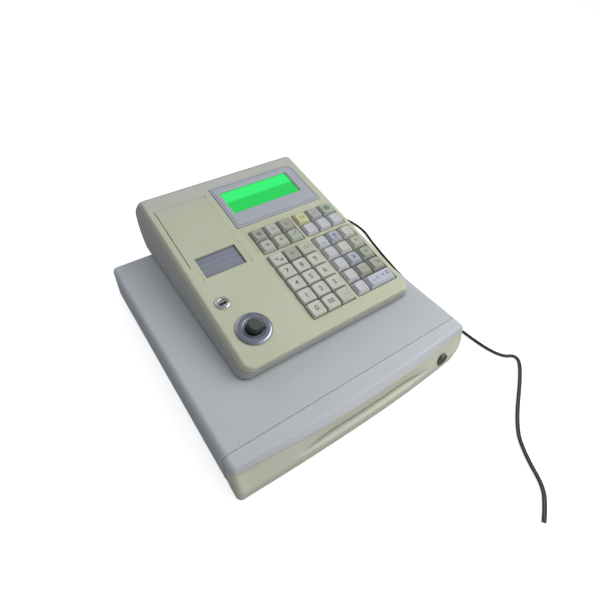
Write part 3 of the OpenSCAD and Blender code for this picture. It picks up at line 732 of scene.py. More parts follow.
def lower_case():
    rings = lower_rings(0.0, -RIM_H - 0.2, BODY_Z0)
    rings[0] = body_ring(lambda y: BODY_Z0, 0.0, 0.7)
    rings.insert(1, body_ring(lambda y: BODY_Z0 + 0.7, 0.0))
    rings[-1] = body_ring(lambda y: slope_z(y, -RIM_H - 0.5), 0.0)
    rings.append(body_ring(lambda y: slope_z(y, -RIM_H - 0.2), 0.0, 0.35))
    body = mesh_object("lower_shell", loft(rings))
    cut(body, loft(lower_rings(WALL, 1.0, BODY_Z0 + WALL)))
    cut(body, rod(3.4, -8, 12, (CORD_X, 184, CORD_Z), (0, 1, 0), (1, 0, 0), 32))
    posts = []
    for x in (-8, 94):
        for y in (26, 152):
            low, high = BODY_Z0 + 2, slope_z(FRONT_Y + y, -17) - 0.6
            profile = [(0.01, low), (3, low), (3, high), (0.01, high)]
            posts.append(lathe(profile, (BODY_X + x, FRONT_Y + y, 0), (0, 0, 1), (1, 0, 0), 24))
    whole = join("lower_case_shell", [(body, LOWER), (mesh_object("posts", *posts), LOWER)])
    piece(whole, "register", "lower_grey", "lower_case")


def top_ring(n, inset, shrink=0.0):
    """Outline of the top case in a plane n off the slope; side, nose and brow are rounded."""
    round_in = EDGE_R - math.sqrt(max(EDGE_R ** 2 - max(n + EDGE_R, 0) ** 2, 0))
    side = round_in + inset + shrink
    half = half_width(n) - side
    s0 = NOSE_S - EDGE_R + side
    s1 = BROW_S + math.sqrt(max(BROW_R ** 2 - (BROW_R + n) ** 2, 0)) - inset - shrink
    radii = [max(CORNER_R - side, 1.0)] * 2 + [max(6.0 - side, 1.0)] * 2
    return [on_slope(x, s, n) for x, s in rect_ring(-half, half, s0, s1, radii, 12)]


def middle_and_half(values):
    low, high = min(values), max(values)
    return (high + low) / 2, (high - low) / 2


def key_places():
    """Each key's centre, half sizes at the rim and half sizes at the top, from its CAD node."""
    found = {}
    for body, nodes in frame["record"]["behaviour"]["bodies"].items():
        if not body.startswith("key_"):
            continue
        spots = [to_slope(v.co / MM) for v in frame["nodes"][nodes[0]].data.vertices]
        rim = [p for p in spots if abs(p[2] - KEY_RIM + 0.05) < 0.15]
        top = [p for p in spots if p[2] > KEY_TOP - 0.1]
        (x, half_w), (s, half_d) = (middle_and_half([p[i] for p in rim]) for i in (0, 1))
        found[body] = (x, s, half_w, half_d, *(middle_and_half([p[i] for p in top])[1] for i in (0, 1)))
    return found


KEYS = key_places()


def stem_places(x, half_w):
    """A key has one stem, or two when it is double width."""
    return [x - 10, x + 10] if half_w > 12 else [x]


def top_case():
    rings = [top_ring(-RIM_H, 0.0, 0.35), top_ring(-RIM_H + 0.35, 0.0)]
    rings += [top_ring(EDGE_R * (math.sin(a) - 1), 0.0) for a in turns(0, 12, 24, 36, 48, 60, 70, 79, 86, 90)]
    case = mesh_object("top_shell", loft(rings))
    cavity = loft([top_ring(-RIM_H - 1, WALL), top_ring(-WALL - 0.3, WALL), top_ring(-WALL, WALL + 0.3)])
    cut(case, cavity)
    under_keys = slab(-19.75, 106.95, 16.15, 163.25, -8, -1.2, 2.0, 0.1, 0.6, on_slope)
    boolean(case, "UNION", mesh_object("key_frame", under_keys))
    cut(case, *[lipped(*well, -WELL_SINK, 0.55, 1.1, on_slope) for well in WELLS])
    holes = []
    for x, s, half_w, *_ in KEYS.values():
        for u in stem_places(x, half_w):
            holes.append(slab(u - 3.15, u + 3.15, s - 3.15, s + 3.15, -12, -5, 0.2, 0.02, 0.02, on_slope, 2))
    cut(case, *holes)
    x0, x1, s0, s1 = LID
    bx0, bx1, bs0, bs1 = BEZEL
    cut(
        case,
        lid_outline((-30, -0.1, -0.02, 3), (0.06, 0.06, 0.1, 3.1), 0.85),
        lipped(bx0 - 0.4, bx1 + 0.3, bs0 - 0.3, bs1 + 0.3, -1.4, 0.3, BEZEL_R, on_slope, 8),
        rod(11.1, -30, 10, on_slope(*MODE, 0), OFF, RIGHT, 56),
        rod(5.9, -30, 10, on_slope(*CLERK, 0), OFF, RIGHT, 48),
    )
    cut(
        case,
        rod(HINGE_R + 0.1, -1, x1 - x0 + 1, on_slope(x0, s1, -HINGE_R), RIGHT, UP, 40),
        *[rod(0.75, -4, 2, on_slope(x, s0 - 0.5, 0), OFF, RIGHT, 16) for x in (LID_JOG, x1 + 0.2)],
    )
    cut(case, slab(-22.8, -22.2, 127, 171, -0.25, 2, 0.25, 0.1, 0.1, on_slope, 3))
    sx0, sx1, ss0, ss1 = SCREEN
    cut(case, slab(sx0 - 4, sx1 + 4, ss0 - 4, ss1 + 4, -30, 2, 1.0, 0.1, 0.1, on_slope))
    piece(case, "register", "cream", "top_case", mat=CREAM)


def lid_outline(levels, grow, left=0.0):
    """Solid in the lid's plan, grown level by level, and by left more along its long left edge."""
    x0, x1, s0, s1 = LID
    rings = []
    for n, out in zip(levels, grow):
        a, b, jog = x0 + 0.6 - out, x1 + out, LID_JOG - out
        plan = [
            (jog, s0 - out), (b + left / 2, s0 - out), (b, s0 + 11), (b, s1 + out), (a - left, s1 + out),
            (a - left, s0 + 22), (a, s0 + 20), (jog, s0 + 15),
        ]
        plan = [Vector(p) for p in plan]
        ring = []
        for k, here in enumerate(plan):
            ring += arc_corner(plan[k - 1], here, plan[(k + 1) % len(plan)], 0.9, 4)
        rings.append([on_slope(p.x, p.y, n) for p in ring])
    return loft(rings)


def printer_lid():
    x0, x1, s0, s1 = LID
    lid = mesh_object("lid", lid_outline((-2.2, -0.16, -0.08, -0.05), (0, 0, -0.02, -0.08)))
    w0, w1, ws0, ws1 = WINDOW
    cut(lid, lipped(w0, w1, ws0 - 6, ws1, -6, 0.3, 0.8, on_slope))
    r, long = HINGE_R - 0.04, x1 - x0
    pins = [(0.01, -2.6), (1, -2.6), (1, 0), (r, 0), (r, long), (1, long), (1, long + 2.6), (0.01, long + 2.6)]
    knuckle = mesh_object("knuckle", lathe(round_profile(pins, 0.15), on_slope(x0, s1, -HINGE_R), RIGHT, UP, 40))
    piece(join("paper_lid", [(lid, LID_CREAM), (knuckle, LID_CREAM)]), "printer_lid", "cream", "printer_lid")


def window_material():
    """Smoky pane through which three lines of the printer show faintly."""
    s = Shader("smoky_window")
    low, high = (on_slope(0, WINDOW[k], -2.2).y * MM for k in (2, 3))
    up = s.remap(s.place("Y"), low, high, 0, 1)
    base = s.mix(up, linear(126, 134, 144), linear(124, 127, 142))
    for place in (0.38, 0.62, 0.86):
        away = s.math("ABSOLUTE", s.math("SUBTRACT", up, place), 0)
        line = s.math("SUBTRACT", 1.0, s.remap(away, 0.015, 0.05, 0, 1))
        base = s.mix(s.math("MULTIPLY", line, 0.4), base, linear(146, 150, 166))
    base = s.mix(s.remap(s.noise(60, 4), 0.4, 0.75, 0, 0.3), base, linear(112, 118, 130))
    # painted shade along the pane's recessed edges
    base = s.mix(s.remap(s.occlusion(4), 0.3, 0.95, 0.8, 0), base, linear(40, 42, 48))
    s.base(base)
    s.rough(s.remap(s.noise(90, 4), 0.3, 0.8, 0.2, 0.38))
    s.bsdf.inputs["Coat Weight"].default_value = 0.25
    s.bump(s.noise(14, 2), 0.12, 0.3)
    return s.material


def lid_window():
    w0, w1, s0, s1 = WINDOW
    pane = mesh_object("window_pane", slab(w0 - 3, w1 + 3, s0 + 0.4, s1 + 3, -3.45, -2.25, 0.8, 0.2, 0.2, on_slope))
    piece(pane, "printer_lid", "window_smoke", "lid_window", mat=window_material())


def paper_roll():
    s = Shader("paper")
    layers = s.noise(30, 6, (0.05, 90.0, 90.0))
    s.base(s.mix(s.remap(layers, 0.45, 0.6, 0, 1), linear(232, 231, 224), linear(210, 208, 200)))
    s.rough(s.remap(s.noise(80, 3), 0.3, 0.7, 0.7, 0.85))
    s.bump(s.noise(1800, 3), 0.2, 0.03)
    core = Shader("core_board")
    core.base(core.mix(core.noise(400, 4), linear(150, 120, 86), linear(120, 94, 66)))
    core.rough(core.remap(core.noise(200, 3), 0.3, 0.7, 0.75, 0.9))
    core.bump(core.noise(900, 3), 0.3, 0.05)
    centre = on_slope(-98, 203, -27)
    roll = round_profile([(7.4, 0), (21, 0), (21, 57), (7.4, 57), (7.4, 0)], 0.4)
    tube = round_profile([(6.0, -0.0), (7.4, -0.0), (7.4, 57), (6.0, 57), (6.0, 0)], 0.2)
    whole = join("receipt_roll", [
        (mesh_object("roll", lathe(roll, centre, RIGHT, UP, 72, closed=True)), s.material),
        (mesh_object("tube", lathe(tube, centre, RIGHT, UP, 48, closed=True)), core.material),
    ])
    piece(whole, "paper_roll", "paper", "paper_roll")


# ---------------------------------------------------------------- display

def screen_material():
    """Backlit green panel, brighter in a band along its upper part, with faint dot rows and a painted shadow along
    its edges.
    """
    s = Shader("backlit_green")
    low, high = (on_slope(0, SCREEN[k], 0).y * MM for k in (2, 3))
    up = s.remap(s.place("Y"), low, high, 0, 1)
    band = s.remap(up, 0.50, 0.60, 0, 1)
    glow = s.mix(band, linear(30, 208, 88), linear(46, 244, 118))
    dots = s.node("ShaderNodeTexVoronoi", Scale=900.0)
    s.link(s.coord, dots.inputs["Vector"])
    spot = s.remap(dots.outputs["Distance"], 0.2, 0.6, 0.16, 0)
    speck = s.math("MULTIPLY", spot, s.remap(up, 0.2, 0.5, 1, 0.25))
    glow = s.mix(speck, glow, linear(14, 150, 66))
    # painted shadow of the bezel along the screen's edges
    rim = s.remap(s.occlusion(3.2, 10), 0.35, 0.9, 0.85, 0)
    glow = s.mix(rim, glow, linear(20, 130, 60))
    s.link(glow, s.bsdf.inputs["Emission Color"])
    s.bsdf.inputs["Emission Strength"].default_value = 0.95
    s.bsdf.inputs["Base Color"].default_value = linear(10, 60, 24)
    s.rough(s.remap(s.noise(50, 3), 0.3, 0.7, 0.22, 0.34))
    s.bump(s.noise(900, 2), 0.05, 0.02)
    return s.material


def display():
    x0, x1, s0, s1 = BEZEL
    frame_ring = mesh_object("bezel_frame", slab(x0, x1, s0, s1, -1.35, 1.0, BEZEL_R, 0.8, 0.1, on_slope, 8))
    sx0, sx1, ss0, ss1 = SCREEN
    opening = []
    for n, out in ((-10, 0.0), (-0.6, 0.0), (0.2, 0.5), (0.7, 1.1), (2.5, 3.4)):
        ring = rect_ring(sx0 - out, sx1 + out, ss0 - out, ss1 + out, 1.0 + out, 5)
        opening.append([on_slope(x, s, n) for x, s in ring])
    cut(frame_ring, loft(opening))
    # thin groove round the bezel, just inside its edge
    outer = rect_ring(x0 + 2.6, x1 - 2.6, s0 + 2.6, s1 - 2.6, [2, 2, 9, 2], 10)
    inner = rect_ring(x0 + 3.2, x1 - 3.2, s0 + 3.2, s1 - 3.2, [1.6, 1.6, 8.4, 1.6], 10)
    around = ((outer, 0.45), (outer, 3), (inner, 3), (inner, 0.45), (outer, 0.45))
    cut(frame_ring, loft([[on_slope(x, s, n) for x, s in ring] for ring, n in around], False, False))
    marks = []
    for x in (sx1 - 4 - k * 6.5 for k in range(5)):
        marks.append(slab(x - 1.1, x + 1.1, ss0 - 5.2, ss0 - 4.5, 0.9, 1.03, 0.1, 0.01, 0.01, on_slope, 1))
    bezel = join("display_frame", [(frame_ring, BEZEL_MAT), (mesh_object("marks", *marks), FAINT)])
    piece(bezel, "register", "bezel_lavender", "display_bezel")
    glass = mesh_object("lcd_panel", slab(sx0 - 3, sx1 + 3, ss0 - 3, ss1 + 3, -4.4, -1.45, 0.6, 0.1, 0.2, on_slope))
    piece(glass, "register", "screen_green", "display_screen", mat=screen_material())


# ---------------------------------------------------------------- locks

def ring_solid(place, land, bore_r, shell):
    """Ring with its barrel; land is the profile of its upper side, from the bore outwards."""
    outer = land[-1][0]
    profile = [(bore_r, -16)] + land + [(outer, 0.02), (bore_r + shell, 0.02), (bore_r + shell, -16), (bore_r, -16)]
    return lathe(round_profile(profile, 0.3, 4), place, OFF, RIGHT, 88, closed=True)


def grip_ring(level, inset):
    """Plan of the mode lock's thumb grip: a round end that runs out to a pointer."""
    turn = math.radians(-22)
    r, tip = 8.6 - inset, 12.4 - inset
    side = math.acos(3.4 / (tip + 0.1))
    turned = [side + (2 * math.pi - 2 * side) * k / 28 for k in range(29)]
    plan = [(r * math.cos(a), r * math.sin(a)) for a in turned]
    flank = [(lerp(r * math.cos(side), tip, t), lerp(r * math.sin(side), 1.6, t)) for t in (0.9, 0.5)]
    plan += [(u, -v) for u, v in reversed(flank)] + [(tip + 0.35, -0.9), (tip + 0.45, 0), (tip + 0.35, 0.9)] + flank
    ring = []
    for u, v in plan:
        top = lerp(12.0, 6.5, (u + 8.6) / 21)
        x, s = u * math.cos(turn) - v * math.sin(turn), u * math.sin(turn) + v * math.cos(turn)
        ring.append(on_slope(MODE[0] + x, MODE[1] + s, level(top)))
    return ring


def locks():
    steps = [(9, 1.3), (9.8, 1.9), (12.4, 2.0), (12.9, 2.5), (17.4, 2.5), (18.9, 1.9), (19.9, 1.1), (20.1, 0.5)]
    lip = [(4.6, 1.4), (5.2, 2.1), (6.9, 2.2), (7.9, 1.5), (8.2, 0.6)]
    barrels = join("lock_rings", [
        (mesh_object("mode_ring", ring_solid(on_slope(*MODE, 0), steps, 9, 2)), RING),
        (mesh_object("clerk_ring", ring_solid(on_slope(*CLERK, 0), lip, 4.6, 1.2)), CHROME),
    ])
    piece(barrels, "register", "lock_metal", "lock_barrels")
    plug = round_profile([(0.01, -15), (8.9, -15), (8.9, -0.2), (8.6, 0.1), (7.6, 0.1), (7.6, 3.2), (0.01, 3.2)], 0.2)
    turner = mesh_object("rotor", lathe(plug, on_slope(*MODE, 0), OFF, RIGHT, 64))
    rings = [grip_ring(lambda top: 2.9, 0.5), grip_ring(lambda top: 3.2, 0.1), grip_ring(lambda top: 3.8, 0)]
    for a in turns(0, 25, 50, 75, 90):
        rings.append(grip_ring(lambda top, a=a: top - 1.0 * (1 - math.sin(a)), 1.2 + 1.0 * (1 - math.cos(a))))
    grip = mesh_object("grip", loft(rings))
    piece(join("mode_rotor", [(turner, BLACK), (grip, BLACK)]), "mode_lock", "rotor_black", "mode_lock_rotor")
    centre = on_slope(*CLERK, 0)
    plug = round_profile([(0.01, -15), (4.5, -15), (4.5, 0.9), (4.2, 1.2), (0.01, 1.2)], 0.25)
    small = mesh_object("plug", lathe(plug, centre, OFF, RIGHT, 56))
    cx, cs = CLERK
    cut(small, slab(cx - 4.1, cx + 4.1, cs - 2.4, cs + 0.6, -5, 3, 0.5, 0.1, 0.1, on_slope))
    # black block at the bottom of the keyhole: painted shade for the keyhole's dark depth
    keyhole_shade = mesh_object("keyhole_shade", slab(cx - 4.0, cx + 4.0, cs - 2.3, cs + 0.5, -5, -0.2, 0.5, 0.1, 0.1, on_slope))
    small = join("clerk_rotor", [(small, CHROME), (keyhole_shade, BLACK)])
    piece(small, "clerk_lock", "lock_chrome", "clerk_lock_rotor")


# ---------------------------------------------------------------- keys

def glyph(text, size):
    """Points and faces of a short text from the built-in font, centred on 0, 0."""
    curve = bpy.data.curves.new("glyph", "FONT")
    curve.body, curve.size = text, size
    curve.align_x, curve.align_y = "CENTER", "CENTER"
    curve.resolution_u, curve.offset = 4, 0.13
    obj = bpy.data.objects.new("glyph", curve)
    bpy.context.scene.collection.objects.link(obj)
    bpy.context.view_layer.update()
    mesh = bpy.data.meshes.new_from_object(obj.evaluated_get(bpy.context.evaluated_depsgraph_get()))
    points = [Vector((v.co.x, v.co.y)) for v in mesh.vertices]
    faces = [tuple(p.vertices) for p in mesh.polygons]
    bpy.data.objects.remove(obj)
    bpy.data.meshes.remove(mesh)
    low = Vector((min(p.x for p in points), min(p.y for p in points)))
    high = Vector((max(p.x for p in points), max(p.y for p in points)))
    return [p - (low + high) / 2 for p in points], faces


def bar(x0, y0, x1, y1, width):
    a, b = Vector((x0, y0)), Vector((x1, y1))
    side = (b - a).normalized().orthogonal() * width / 2
    return [a - side, b - side, b + side, a + side], [(0, 1, 2, 3)]


def rows(*lines):
    """Level bars, each from x0 to x1 at height y."""
    return [bar(x0, y, x1, y, width) for x0, x1, y, width in lines]


def dot(x, y, r):
    ring = [Vector((x + r * math.cos(t * math.pi / 12), y + r * math.sin(t * math.pi / 12))) for t in range(24)]
    return ring, [tuple(range(24))]


def hoop(x, y, r, width):
    outer = dot(x, y, r)[0]
    inner = [Vector((x, y)) + (p - Vector((x, y))) * (1 - width / r) for p in outer]
    return outer + inner, [(i, (i + 1) % 24, 24 + (i + 1) % 24, 24 + i) for i in range(24)]


def box_mark(x0, y0, x1, y1, width):
    corners = [(x0, y0), (x1, y0), (x1, y1), (x0, y1), (x0, y0)]
    return [bar(*a, *b, width) for a, b in zip(corners, corners[1:])]


def raised(flat, centre, top_w, top_d, depth, thick=0.05):
    """A flat mark laid on a key's dished top as a thin solid."""
    points, faces = flat
    cx, cs = centre

    def level(p):
        return KEY_TOP - depth * (1 - min((p.x / top_w) ** 2 + (p.y / top_d) ** 2, 1.0))

    count = len(points)
    solid = [on_slope(cx + p.x, cs + p.y, level(p) - 0.15) for p in points]
    solid += [on_slope(cx + p.x, cs + p.y, level(p) + thick) for p in points]
    edges = {}
    for face in faces:
        for a, b in zip(face, face[1:] + face[:1]):
            edges[(a, b)] = edges.get((a, b), 0) + 1
    made = [tuple(reversed(f)) for f in faces] + [tuple(i + count for i in f) for f in faces]
    for a, b in edges:
        if (b, a) not in edges:
            made.append((a, b, b + count, a + count))
    return solid, made


DIGIT_KEYS = {"key_%d" % d: str(d) for d in range(10)}
DIGIT_KEYS["key_00"] = "00"
CROSS = [bar(-1.3, -1.3, 1.3, 1.3, 0.55), bar(-1.3, 1.3, 1.3, -1.3, 0.55)]
LINES = rows((-2.4, 1.6, 1.3, 0.5), (-2.4, 2.4, 0.1, 0.5), (-2.4, 1.0, -1.1, 0.5))
# Colour, mark colour and generic marks of the keys that are neither plain digits nor blank
BLANK = (LAVENDER, FAINT, [])
STYLE = {
    "key_point": (SAND, FAINT, [dot(0, -0.6, 0.75)]),
    "key_code": (WHITE, STRONG, [
        bar(-2.6, 1.8, -2.6, -0.6, 0.8), bar(-2.6, -0.6, 0.4, -0.6, 0.8), dot(-0.4, 1.4, 0.6),
        bar(0.6, -2.4, 3.4, -2.4, 1.0), bar(3.1, -2.4, 3.1, -0.2, 0.8),
    ]),
    "key_multiply": (GREY, DIGITS, CROSS),
    "key_clear": (SAND, OLIVE_INK, box_mark(-1.9, -1.2, 1.9, 1.4, 0.45)),
    "key_discount": (PINKISH, DIGITS, rows((-1.6, 1.6, 1.2, 0.6), (-1.6, 1.9, -0.1, 0.7), (-0.4, 1.8, -1.4, 0.7))),
    "key_percent": (SAND, STRONG, CROSS),
    "key_tax": (PALE_GREEN, STRONG, rows((-2.0, -0.4, 0.6, 0.7), (0.4, 2.6, 1.6, 0.8), (-0.6, 1.0, -1.0, 0.5))),
    "key_feed": (GREY, DIGITS, rows((-2.4, 2.2, 1.4, 0.8), (-2.4, 2.4, 0.0, 0.8), (-1.4, 2.4, -1.4, 0.8))),
    "key_void": (PINKISH, DIGITS, rows((-1.9, 0.4, 1.0, 0.6)) + [bar(0.3, -0.2, 2.2, 0.6, 0.6)] + rows(
        (-1.2, 1.6, -1.2, 0.6))),
    "key_refund": (GREEN_GREY, MOSS_INK, rows((-2.2, 0.8, 1.6, 0.6)) + [bar(0.8, 1.6, 0.8, -0.6, 0.6)] + rows(
        (-2.0, -0.4, 0.0, 0.7), (-1.8, 2.2, -1.6, 0.6))),
    "key_received": (YELLOW, OLIVE_INK, box_mark(-1.9, -1.4, 1.9, 1.6, 0.5) + rows((-0.8, 0.8, 0.1, 0.5))),
    "key_paid_out": (LILAC_GREY, FAINT, LINES),
    "key_no_sale": (PALE_GREEN, GREEN_INK, [hoop(0, 0.3, 4.4, 1.7), dot(0, 0.3, 1.9)]),
    "key_dept_2": (GREEN_GREY, FAINT, LINES),
    "key_dept_3": (GREEN_GREY, STRONG, rows((-1.8, 1.6, 1.4, 0.5), (0.8, 2.6, 0.0, 0.8), (1.6, 3.0, -1.6, 0.9))),
    "key_dept_5": (BLUE, PURPLE, rows((-1.8, 1.4, 1.2, 0.6)) + [dot(0.2, -0.4, 1.0)] + rows((-1.2, 1.8, -1.8, 0.5))),
    "key_dept_6": (GREEN_GREY, MOSS_INK, rows((-2.2, 1.4, 1.4, 0.6), (-0.8, 2.2, 0.2, 0.7), (-1.8, 0.6, -1.2, 0.6))),
    "key_dept_8": (WHITE, FAINT, rows((-1.4, 1.8, 0.4, 0.4))),
    "key_dept_9": (PALE_GREEN, MOSS_INK, rows((-2.2, 1.6, 1.8, 0.6), (-1.0, 2.2, 0.5, 0.6), (-2.0, 0.8, -0.9, 0.5))),
    "key_dept_10": (LAVENDER, STRONG, rows((-1.9, -0.6, -3.5, 0.8), (0.1, 1.6, -3.5, 0.8))),
    "key_dept_11": (BLUE, PURPLE, rows(
        (-1.9, 1.5, 1.5, 0.7), (-1.2, 2.0, 0.1, 0.8), (-1.8, 0.8, -1.3, 0.7), (-1.6, 1.6, -3.4, 0.7))),
    "key_dept_12": (WHITE, FAINT, rows((-1.6, 1.6, 1.0, 0.4), (-1.2, 1.8, -0.4, 0.4))),
    "key_total": (LILAC, PURPLE, rows((-12.2, -9.4, -1.6, 1.0)) + [dot(-5.6, -0.4, 1.0)] + rows(
        (-4.2, -1.6, 1.2, 0.8), (-3.4, -1.2, -1.0, 0.7), (2.4, 6.0, 1.4, 0.8), (3.2, 6.6, -0.2, 0.8),
        (9.0, 13.6, 2.2, 1.1), (9.0, 13.8, -0.6, 1.1))),
}


def key_rings(centre, half_w, half_d, top_w, top_d, flat):
    """Rings of a hollow cap, from the inside roof down, round the rim and over the dished top."""
    cx, cs = centre
    depth = 0.45 if flat else 0.35

    def ring(w, d, n, r):
        return [on_slope(cx + x, cs + s, n) for x, s in rect_ring(-w, w, -d, d, r, 7)]

    rings = [ring(top_w - 1.4, top_d - 1.4, 2.6, 1.2), ring(half_w - 1.2, half_d - 1.2, KEY_RIM, 0.6)]
    levels = [(KEY_RIM, 0.12, 0.0), (-2.1, 0.0, 0.02)]
    if flat:
        levels += [(0.6, 0.0, 0.22), (2.2, 0.0, 0.46), (3.0, 0.0, 0.72)]
    else:
        levels += [(-1.2, 0.0, 0.08), (0.0, 0.0, 0.32), (2.2, 0.0, 0.74), (3.1, 0.0, 0.91)]
    top_r = 2.6 if flat else 2.2
    for n, tuck, t in levels:
        r = lerp(0.9, top_r, t)
        rings.append(ring(lerp(half_w, top_w, t) - tuck, lerp(half_d, top_d, t) - tuck, n, r))
    start_w, start_d = lerp(half_w, top_w, t), lerp(half_d, top_d, t)
    for a in turns(25, 50, 75):
        n, tuck = lerp(levels[-1][0], KEY_TOP, math.sin(a)), 1 - math.cos(a)
        w = lerp(start_w, top_w - 0.15, tuck) - SHOULDER * 0.35 * tuck
        d = lerp(start_d, top_d - 0.15, tuck) - SHOULDER * 0.35 * tuck
        rings.append(ring(w, d, n, top_r))
    in_w, in_d = top_w - SHOULDER, top_d - SHOULDER
    rings.append(ring(in_w, in_d, KEY_TOP, top_r - 0.5))
    for share in (0.86, 0.72, 0.56, 0.4, 0.24, 0.1):
        n = KEY_TOP - depth * (1 - share * share)
        rings.append(ring(in_w * share, in_d * share, n, max((top_r - 0.5) * share, 0.1)))
    return rings, depth


def key(name):
    x, s, half_w, half_d, top_w, top_d = KEYS[name]
    flat = top_w > 8 and half_w < 12
    if name in DIGIT_KEYS:
        size = 9.2 if len(DIGIT_KEYS[name]) == 1 else 8.0
        colour, mark, marks = WHITE, DIGITS, [glyph(DIGIT_KEYS[name], size)]
    else:
        colour, mark, marks = STYLE.get(name, BLANK)
        if name not in ("key_total", "key_no_sale"):
            marks = [([p * 1.35 for p in points], faces) for points, faces in marks]
    rings, depth = key_rings((x, s), half_w, half_d, top_w, top_d, flat)
    parts = [(mesh_object("cap", loft(rings)), colour)]
    for u in stem_places(x, half_w):
        stem = slab(u - 3, u + 3, s - 3, s + 3, -10, 3.2, 0.3, 0.1, 0.3, on_slope, 2)
        parts.append((mesh_object("stem", stem), colour))
    if marks:
        solids = [raised(m, (x, s), top_w - SHOULDER, top_d - SHOULDER, depth) for m in marks]
        parts.append((mesh_object("marks", *solids), mark))
    whole = join(name + "_cap", parts)
    slots = {s["node"]: s["material_slot"] for s in frame["record"]["subparts"]}
    piece(whole, name, slots[name], name)


# ---------------------------------------------------------------- power cord

def cord():
    """Flat two-core cord: two round cores side by side, from the body's back down to the counter."""
    side_x, x0 = CASE_W / 2, CORD_X
    drop = [(x0, 178, CORD_Z), (x0, 198, CORD_Z), (x0, 208, CORD_Z - 7), (x0, 214, 24), (x0 + 1, 215, 5)]
    run = [
        (x0 + 12, 218), (side_x - 4, 214), (side_x + 42, 165), (side_x + 63, 97), (side_x + 49, 50),
        (side_x + 36, -18), (side_x + 29, -75), (side_x + 28, -150), (side_x + 36, -195), (side_x + 56, -205),
        (side_x + 40, -222), (side_x - 28, -264), (side_x - 46, -290), (side_x - 58, -318), (side_x - 74, -330),
        (side_x - 86, -337),
    ]
    path = smooth_path([Vector(p) for p in drop] + [Vector((x, y, 1.75)) for x, y in run], 3)
    half_wide, half_thick = 2.2, 1.45
    rings = []
    for i, p in enumerate(path):
        ahead = (path[min(i + 1, len(path) - 1)] - path[max(i - 1, 0)]).normalized()
        flat = RIGHT if i == 0 else flat
        flat = (flat - ahead * flat.dot(ahead)).normalized()
        if p.z < 6:
            level = ahead.cross(Vector((0, 0, 1))).normalized()
            if level.dot(flat) < 0:
                level = -level
            flat = flat.lerp(level, 0.35).normalized()
        high = ahead.cross(flat).normalized()
        ring = []
        for k in range(20):
            t = 2 * math.pi * k / 20
            c, sn = math.cos(t), math.sin(t)
            waist = 1 - 0.32 * max(0.0, 1 - abs(c) * 2.6)
            ring.append(p + flat * (c * half_wide) + high * (sn * half_thick * waist))
        rings.append(ring)
    relief = [(0.01, -1.5), (4.6, -1.5), (4.6, 0.8), (3.9, 1.4), (3.6, 6.5), (3.2, 7.4), (0.01, 7.4)]
    exit_at = (x0, rear_y(lambda y: CORD_Z, 0), CORD_Z)
    whole = join("mains_cord", [
        (mesh_object("jacket", loft(rings)), CORD),
        (mesh_object("relief", lathe(round_profile(relief, 0.3), exit_at, (0, 1, 0), (1, 0, 0), 36)), CORD),
    ])
    piece(whole, "register", "cord_black", "power_cord")


# ---------------------------------------------------------------- hidden works

def works():
    """Circuit board to the right of the printer's chassis, in one carried CAD node."""
    s = Shader("board_and_chassis")
    edge = (BODY_X - 20) * MM
    board = s.remap(s.place("X"), edge, edge + 0.001, 0, 1)
    tracks = s.node("ShaderNodeTexBrick", Scale=160.0)
    s.link(s.coord, tracks.inputs["Vector"])
    green = s.mix(s.remap(tracks.outputs["Fac"], 0.4, 0.6, 0, 0.6), linear(38, 92, 58), linear(70, 132, 88))
    steel = s.mix(s.noise(60, 4), linear(140, 143, 148), linear(112, 115, 120))
    base = s.mix(board, steel, green)
    # painted shade in the corners of board and chassis
    base = s.mix(s.remap(s.occlusion(5), 0.3, 0.95, 0.6, 0), base, linear(30, 30, 32))
    s.base(base)
    s.link(s.remap(board, 0, 1, 0.75, 0.05), s.bsdf.inputs["Metallic"])
    s.rough(s.remap(s.noise(90, 4), 0.3, 0.7, 0.35, 0.55))
    s.bump(s.noise(700, 3), 0.2, 0.03)
    dress("electronics", s.material, 0.25)


case_cover()
case_base()
case_feet()
drawer_front()
drawer_lock()
lower_case()
top_case()
printer_lid()
lid_window()
paper_roll()
display()
locks()
for key_name in KEYS:
    key(key_name)
cord()
works()
dress("drawer_box", BOX, 0.35)
dress("cash_tray", TRAY, 0.3)

# ---------------------------------------------------------------- stage, light and camera

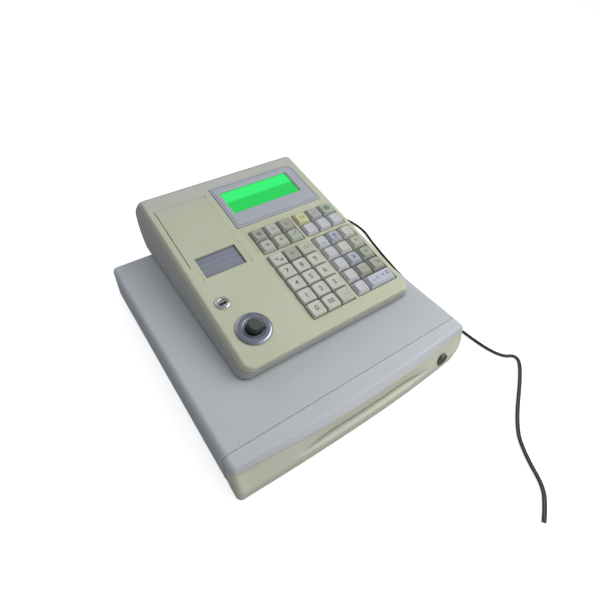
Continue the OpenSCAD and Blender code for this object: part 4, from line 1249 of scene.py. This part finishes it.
def stage():
    """Pale floor and studio sky: white to the camera, dimmer to what they light."""
    reach = rect_ring(-4000, 4000, -4000, 4000, 1, 1)
    floor = mesh_object("floor", loft([[upright(x, y, 0) for x, y in reach]], False))
    s = Shader("pale_floor")
    seen = s.node("ShaderNodeLightPath").outputs["Is Camera Ray"]
    pale = s.mix(s.noise(3, 3), (0.93, 0.93, 0.93, 1), (0.95, 0.95, 0.95, 1))
    s.base(s.mix(seen, (0.42, 0.42, 0.40, 1), pale))
    s.bsdf.inputs["Roughness"].default_value = 0.8
    s.bsdf.inputs["Emission Color"].default_value = (1, 1, 1, 1)
    s.link(s.math("MULTIPLY", seen, 0.6), s.bsdf.inputs["Emission Strength"])
    floor.data.materials.append(s.material)
    world = bpy.data.worlds.new("studio")
    bpy.context.scene.world = world
    world.use_nodes = True
    tree = world.node_tree
    tree.nodes.clear()
    seen = tree.nodes.new("ShaderNodeBackground")
    seen.inputs["Color"].default_value = (1, 1, 1, 1)
    lit = tree.nodes.new("ShaderNodeBackground")
    lit.inputs["Color"].default_value = (0.97, 0.985, 1.0, 1)
    lit.inputs["Strength"].default_value = 0.36
    path = tree.nodes.new("ShaderNodeLightPath")
    mixer = tree.nodes.new("ShaderNodeMixShader")
    out = tree.nodes.new("ShaderNodeOutputWorld")
    tree.links.new(path.outputs["Is Camera Ray"], mixer.inputs[0])
    tree.links.new(lit.outputs[0], mixer.inputs[1])
    tree.links.new(seen.outputs[0], mixer.inputs[2])
    tree.links.new(mixer.outputs[0], out.inputs[0])


def area_light(name, place, target, size, power, colour):
    data = bpy.data.lights.new(name, "AREA")
    data.shape, data.size, data.size_y = "RECTANGLE", size[0], size[1]
    data.energy, data.color = power, colour
    lamp = bpy.data.objects.new(name, data)
    lamp.location = place
    lamp.rotation_euler = (Vector(target) - Vector(place)).to_track_quat("-Z", "Y").to_euler()
    bpy.context.scene.collection.objects.link(lamp)


def camera():
    yaw, pitch, roll = math.radians(-36.28), math.radians(-42.53), math.radians(2.26)
    ahead = Vector((-math.sin(yaw) * math.cos(pitch), math.cos(yaw) * math.cos(pitch), math.sin(pitch)))
    right = Vector((math.cos(yaw), math.sin(yaw), 0))
    above = right.cross(ahead)
    right, above = right * math.cos(roll) + above * math.sin(roll), above * math.cos(roll) - right * math.sin(roll)
    data = bpy.data.cameras.new("camera")
    data.lens, data.sensor_width, data.shift_y = 27.77, 36.0, -0.05
    data.clip_start, data.clip_end = 0.01, 50
    cam = bpy.data.objects.new("camera", data)
    cam.matrix_world = Matrix((
        (right.x, above.x, -ahead.x, -0.2149),
        (right.y, above.y, -ahead.y, -0.3303),
        (right.z, above.z, -ahead.z, 0.4511),
        (0, 0, 0, 1),
    ))
    bpy.context.scene.collection.objects.link(cam)
    bpy.context.scene.camera = cam


stage()
area_light("key_light", (0.9, -0.42, 0.98), (0.02, 0, 0.05), (1.1, 1.1), 15, (1.0, 0.99, 0.97))
area_light("back_light", (-0.45, 1.3, 1.0), (0, 0, 0.05), (1.6, 0.8), 6, (0.88, 0.93, 1.0))
area_light("front_fill", (0.35, -1.3, 0.5), (0, 0, 0.05), (1.4, 0.6), 4, (1.0, 1.0, 1.0))
camera()
bpy.context.scene.view_settings.view_transform = "Standard"
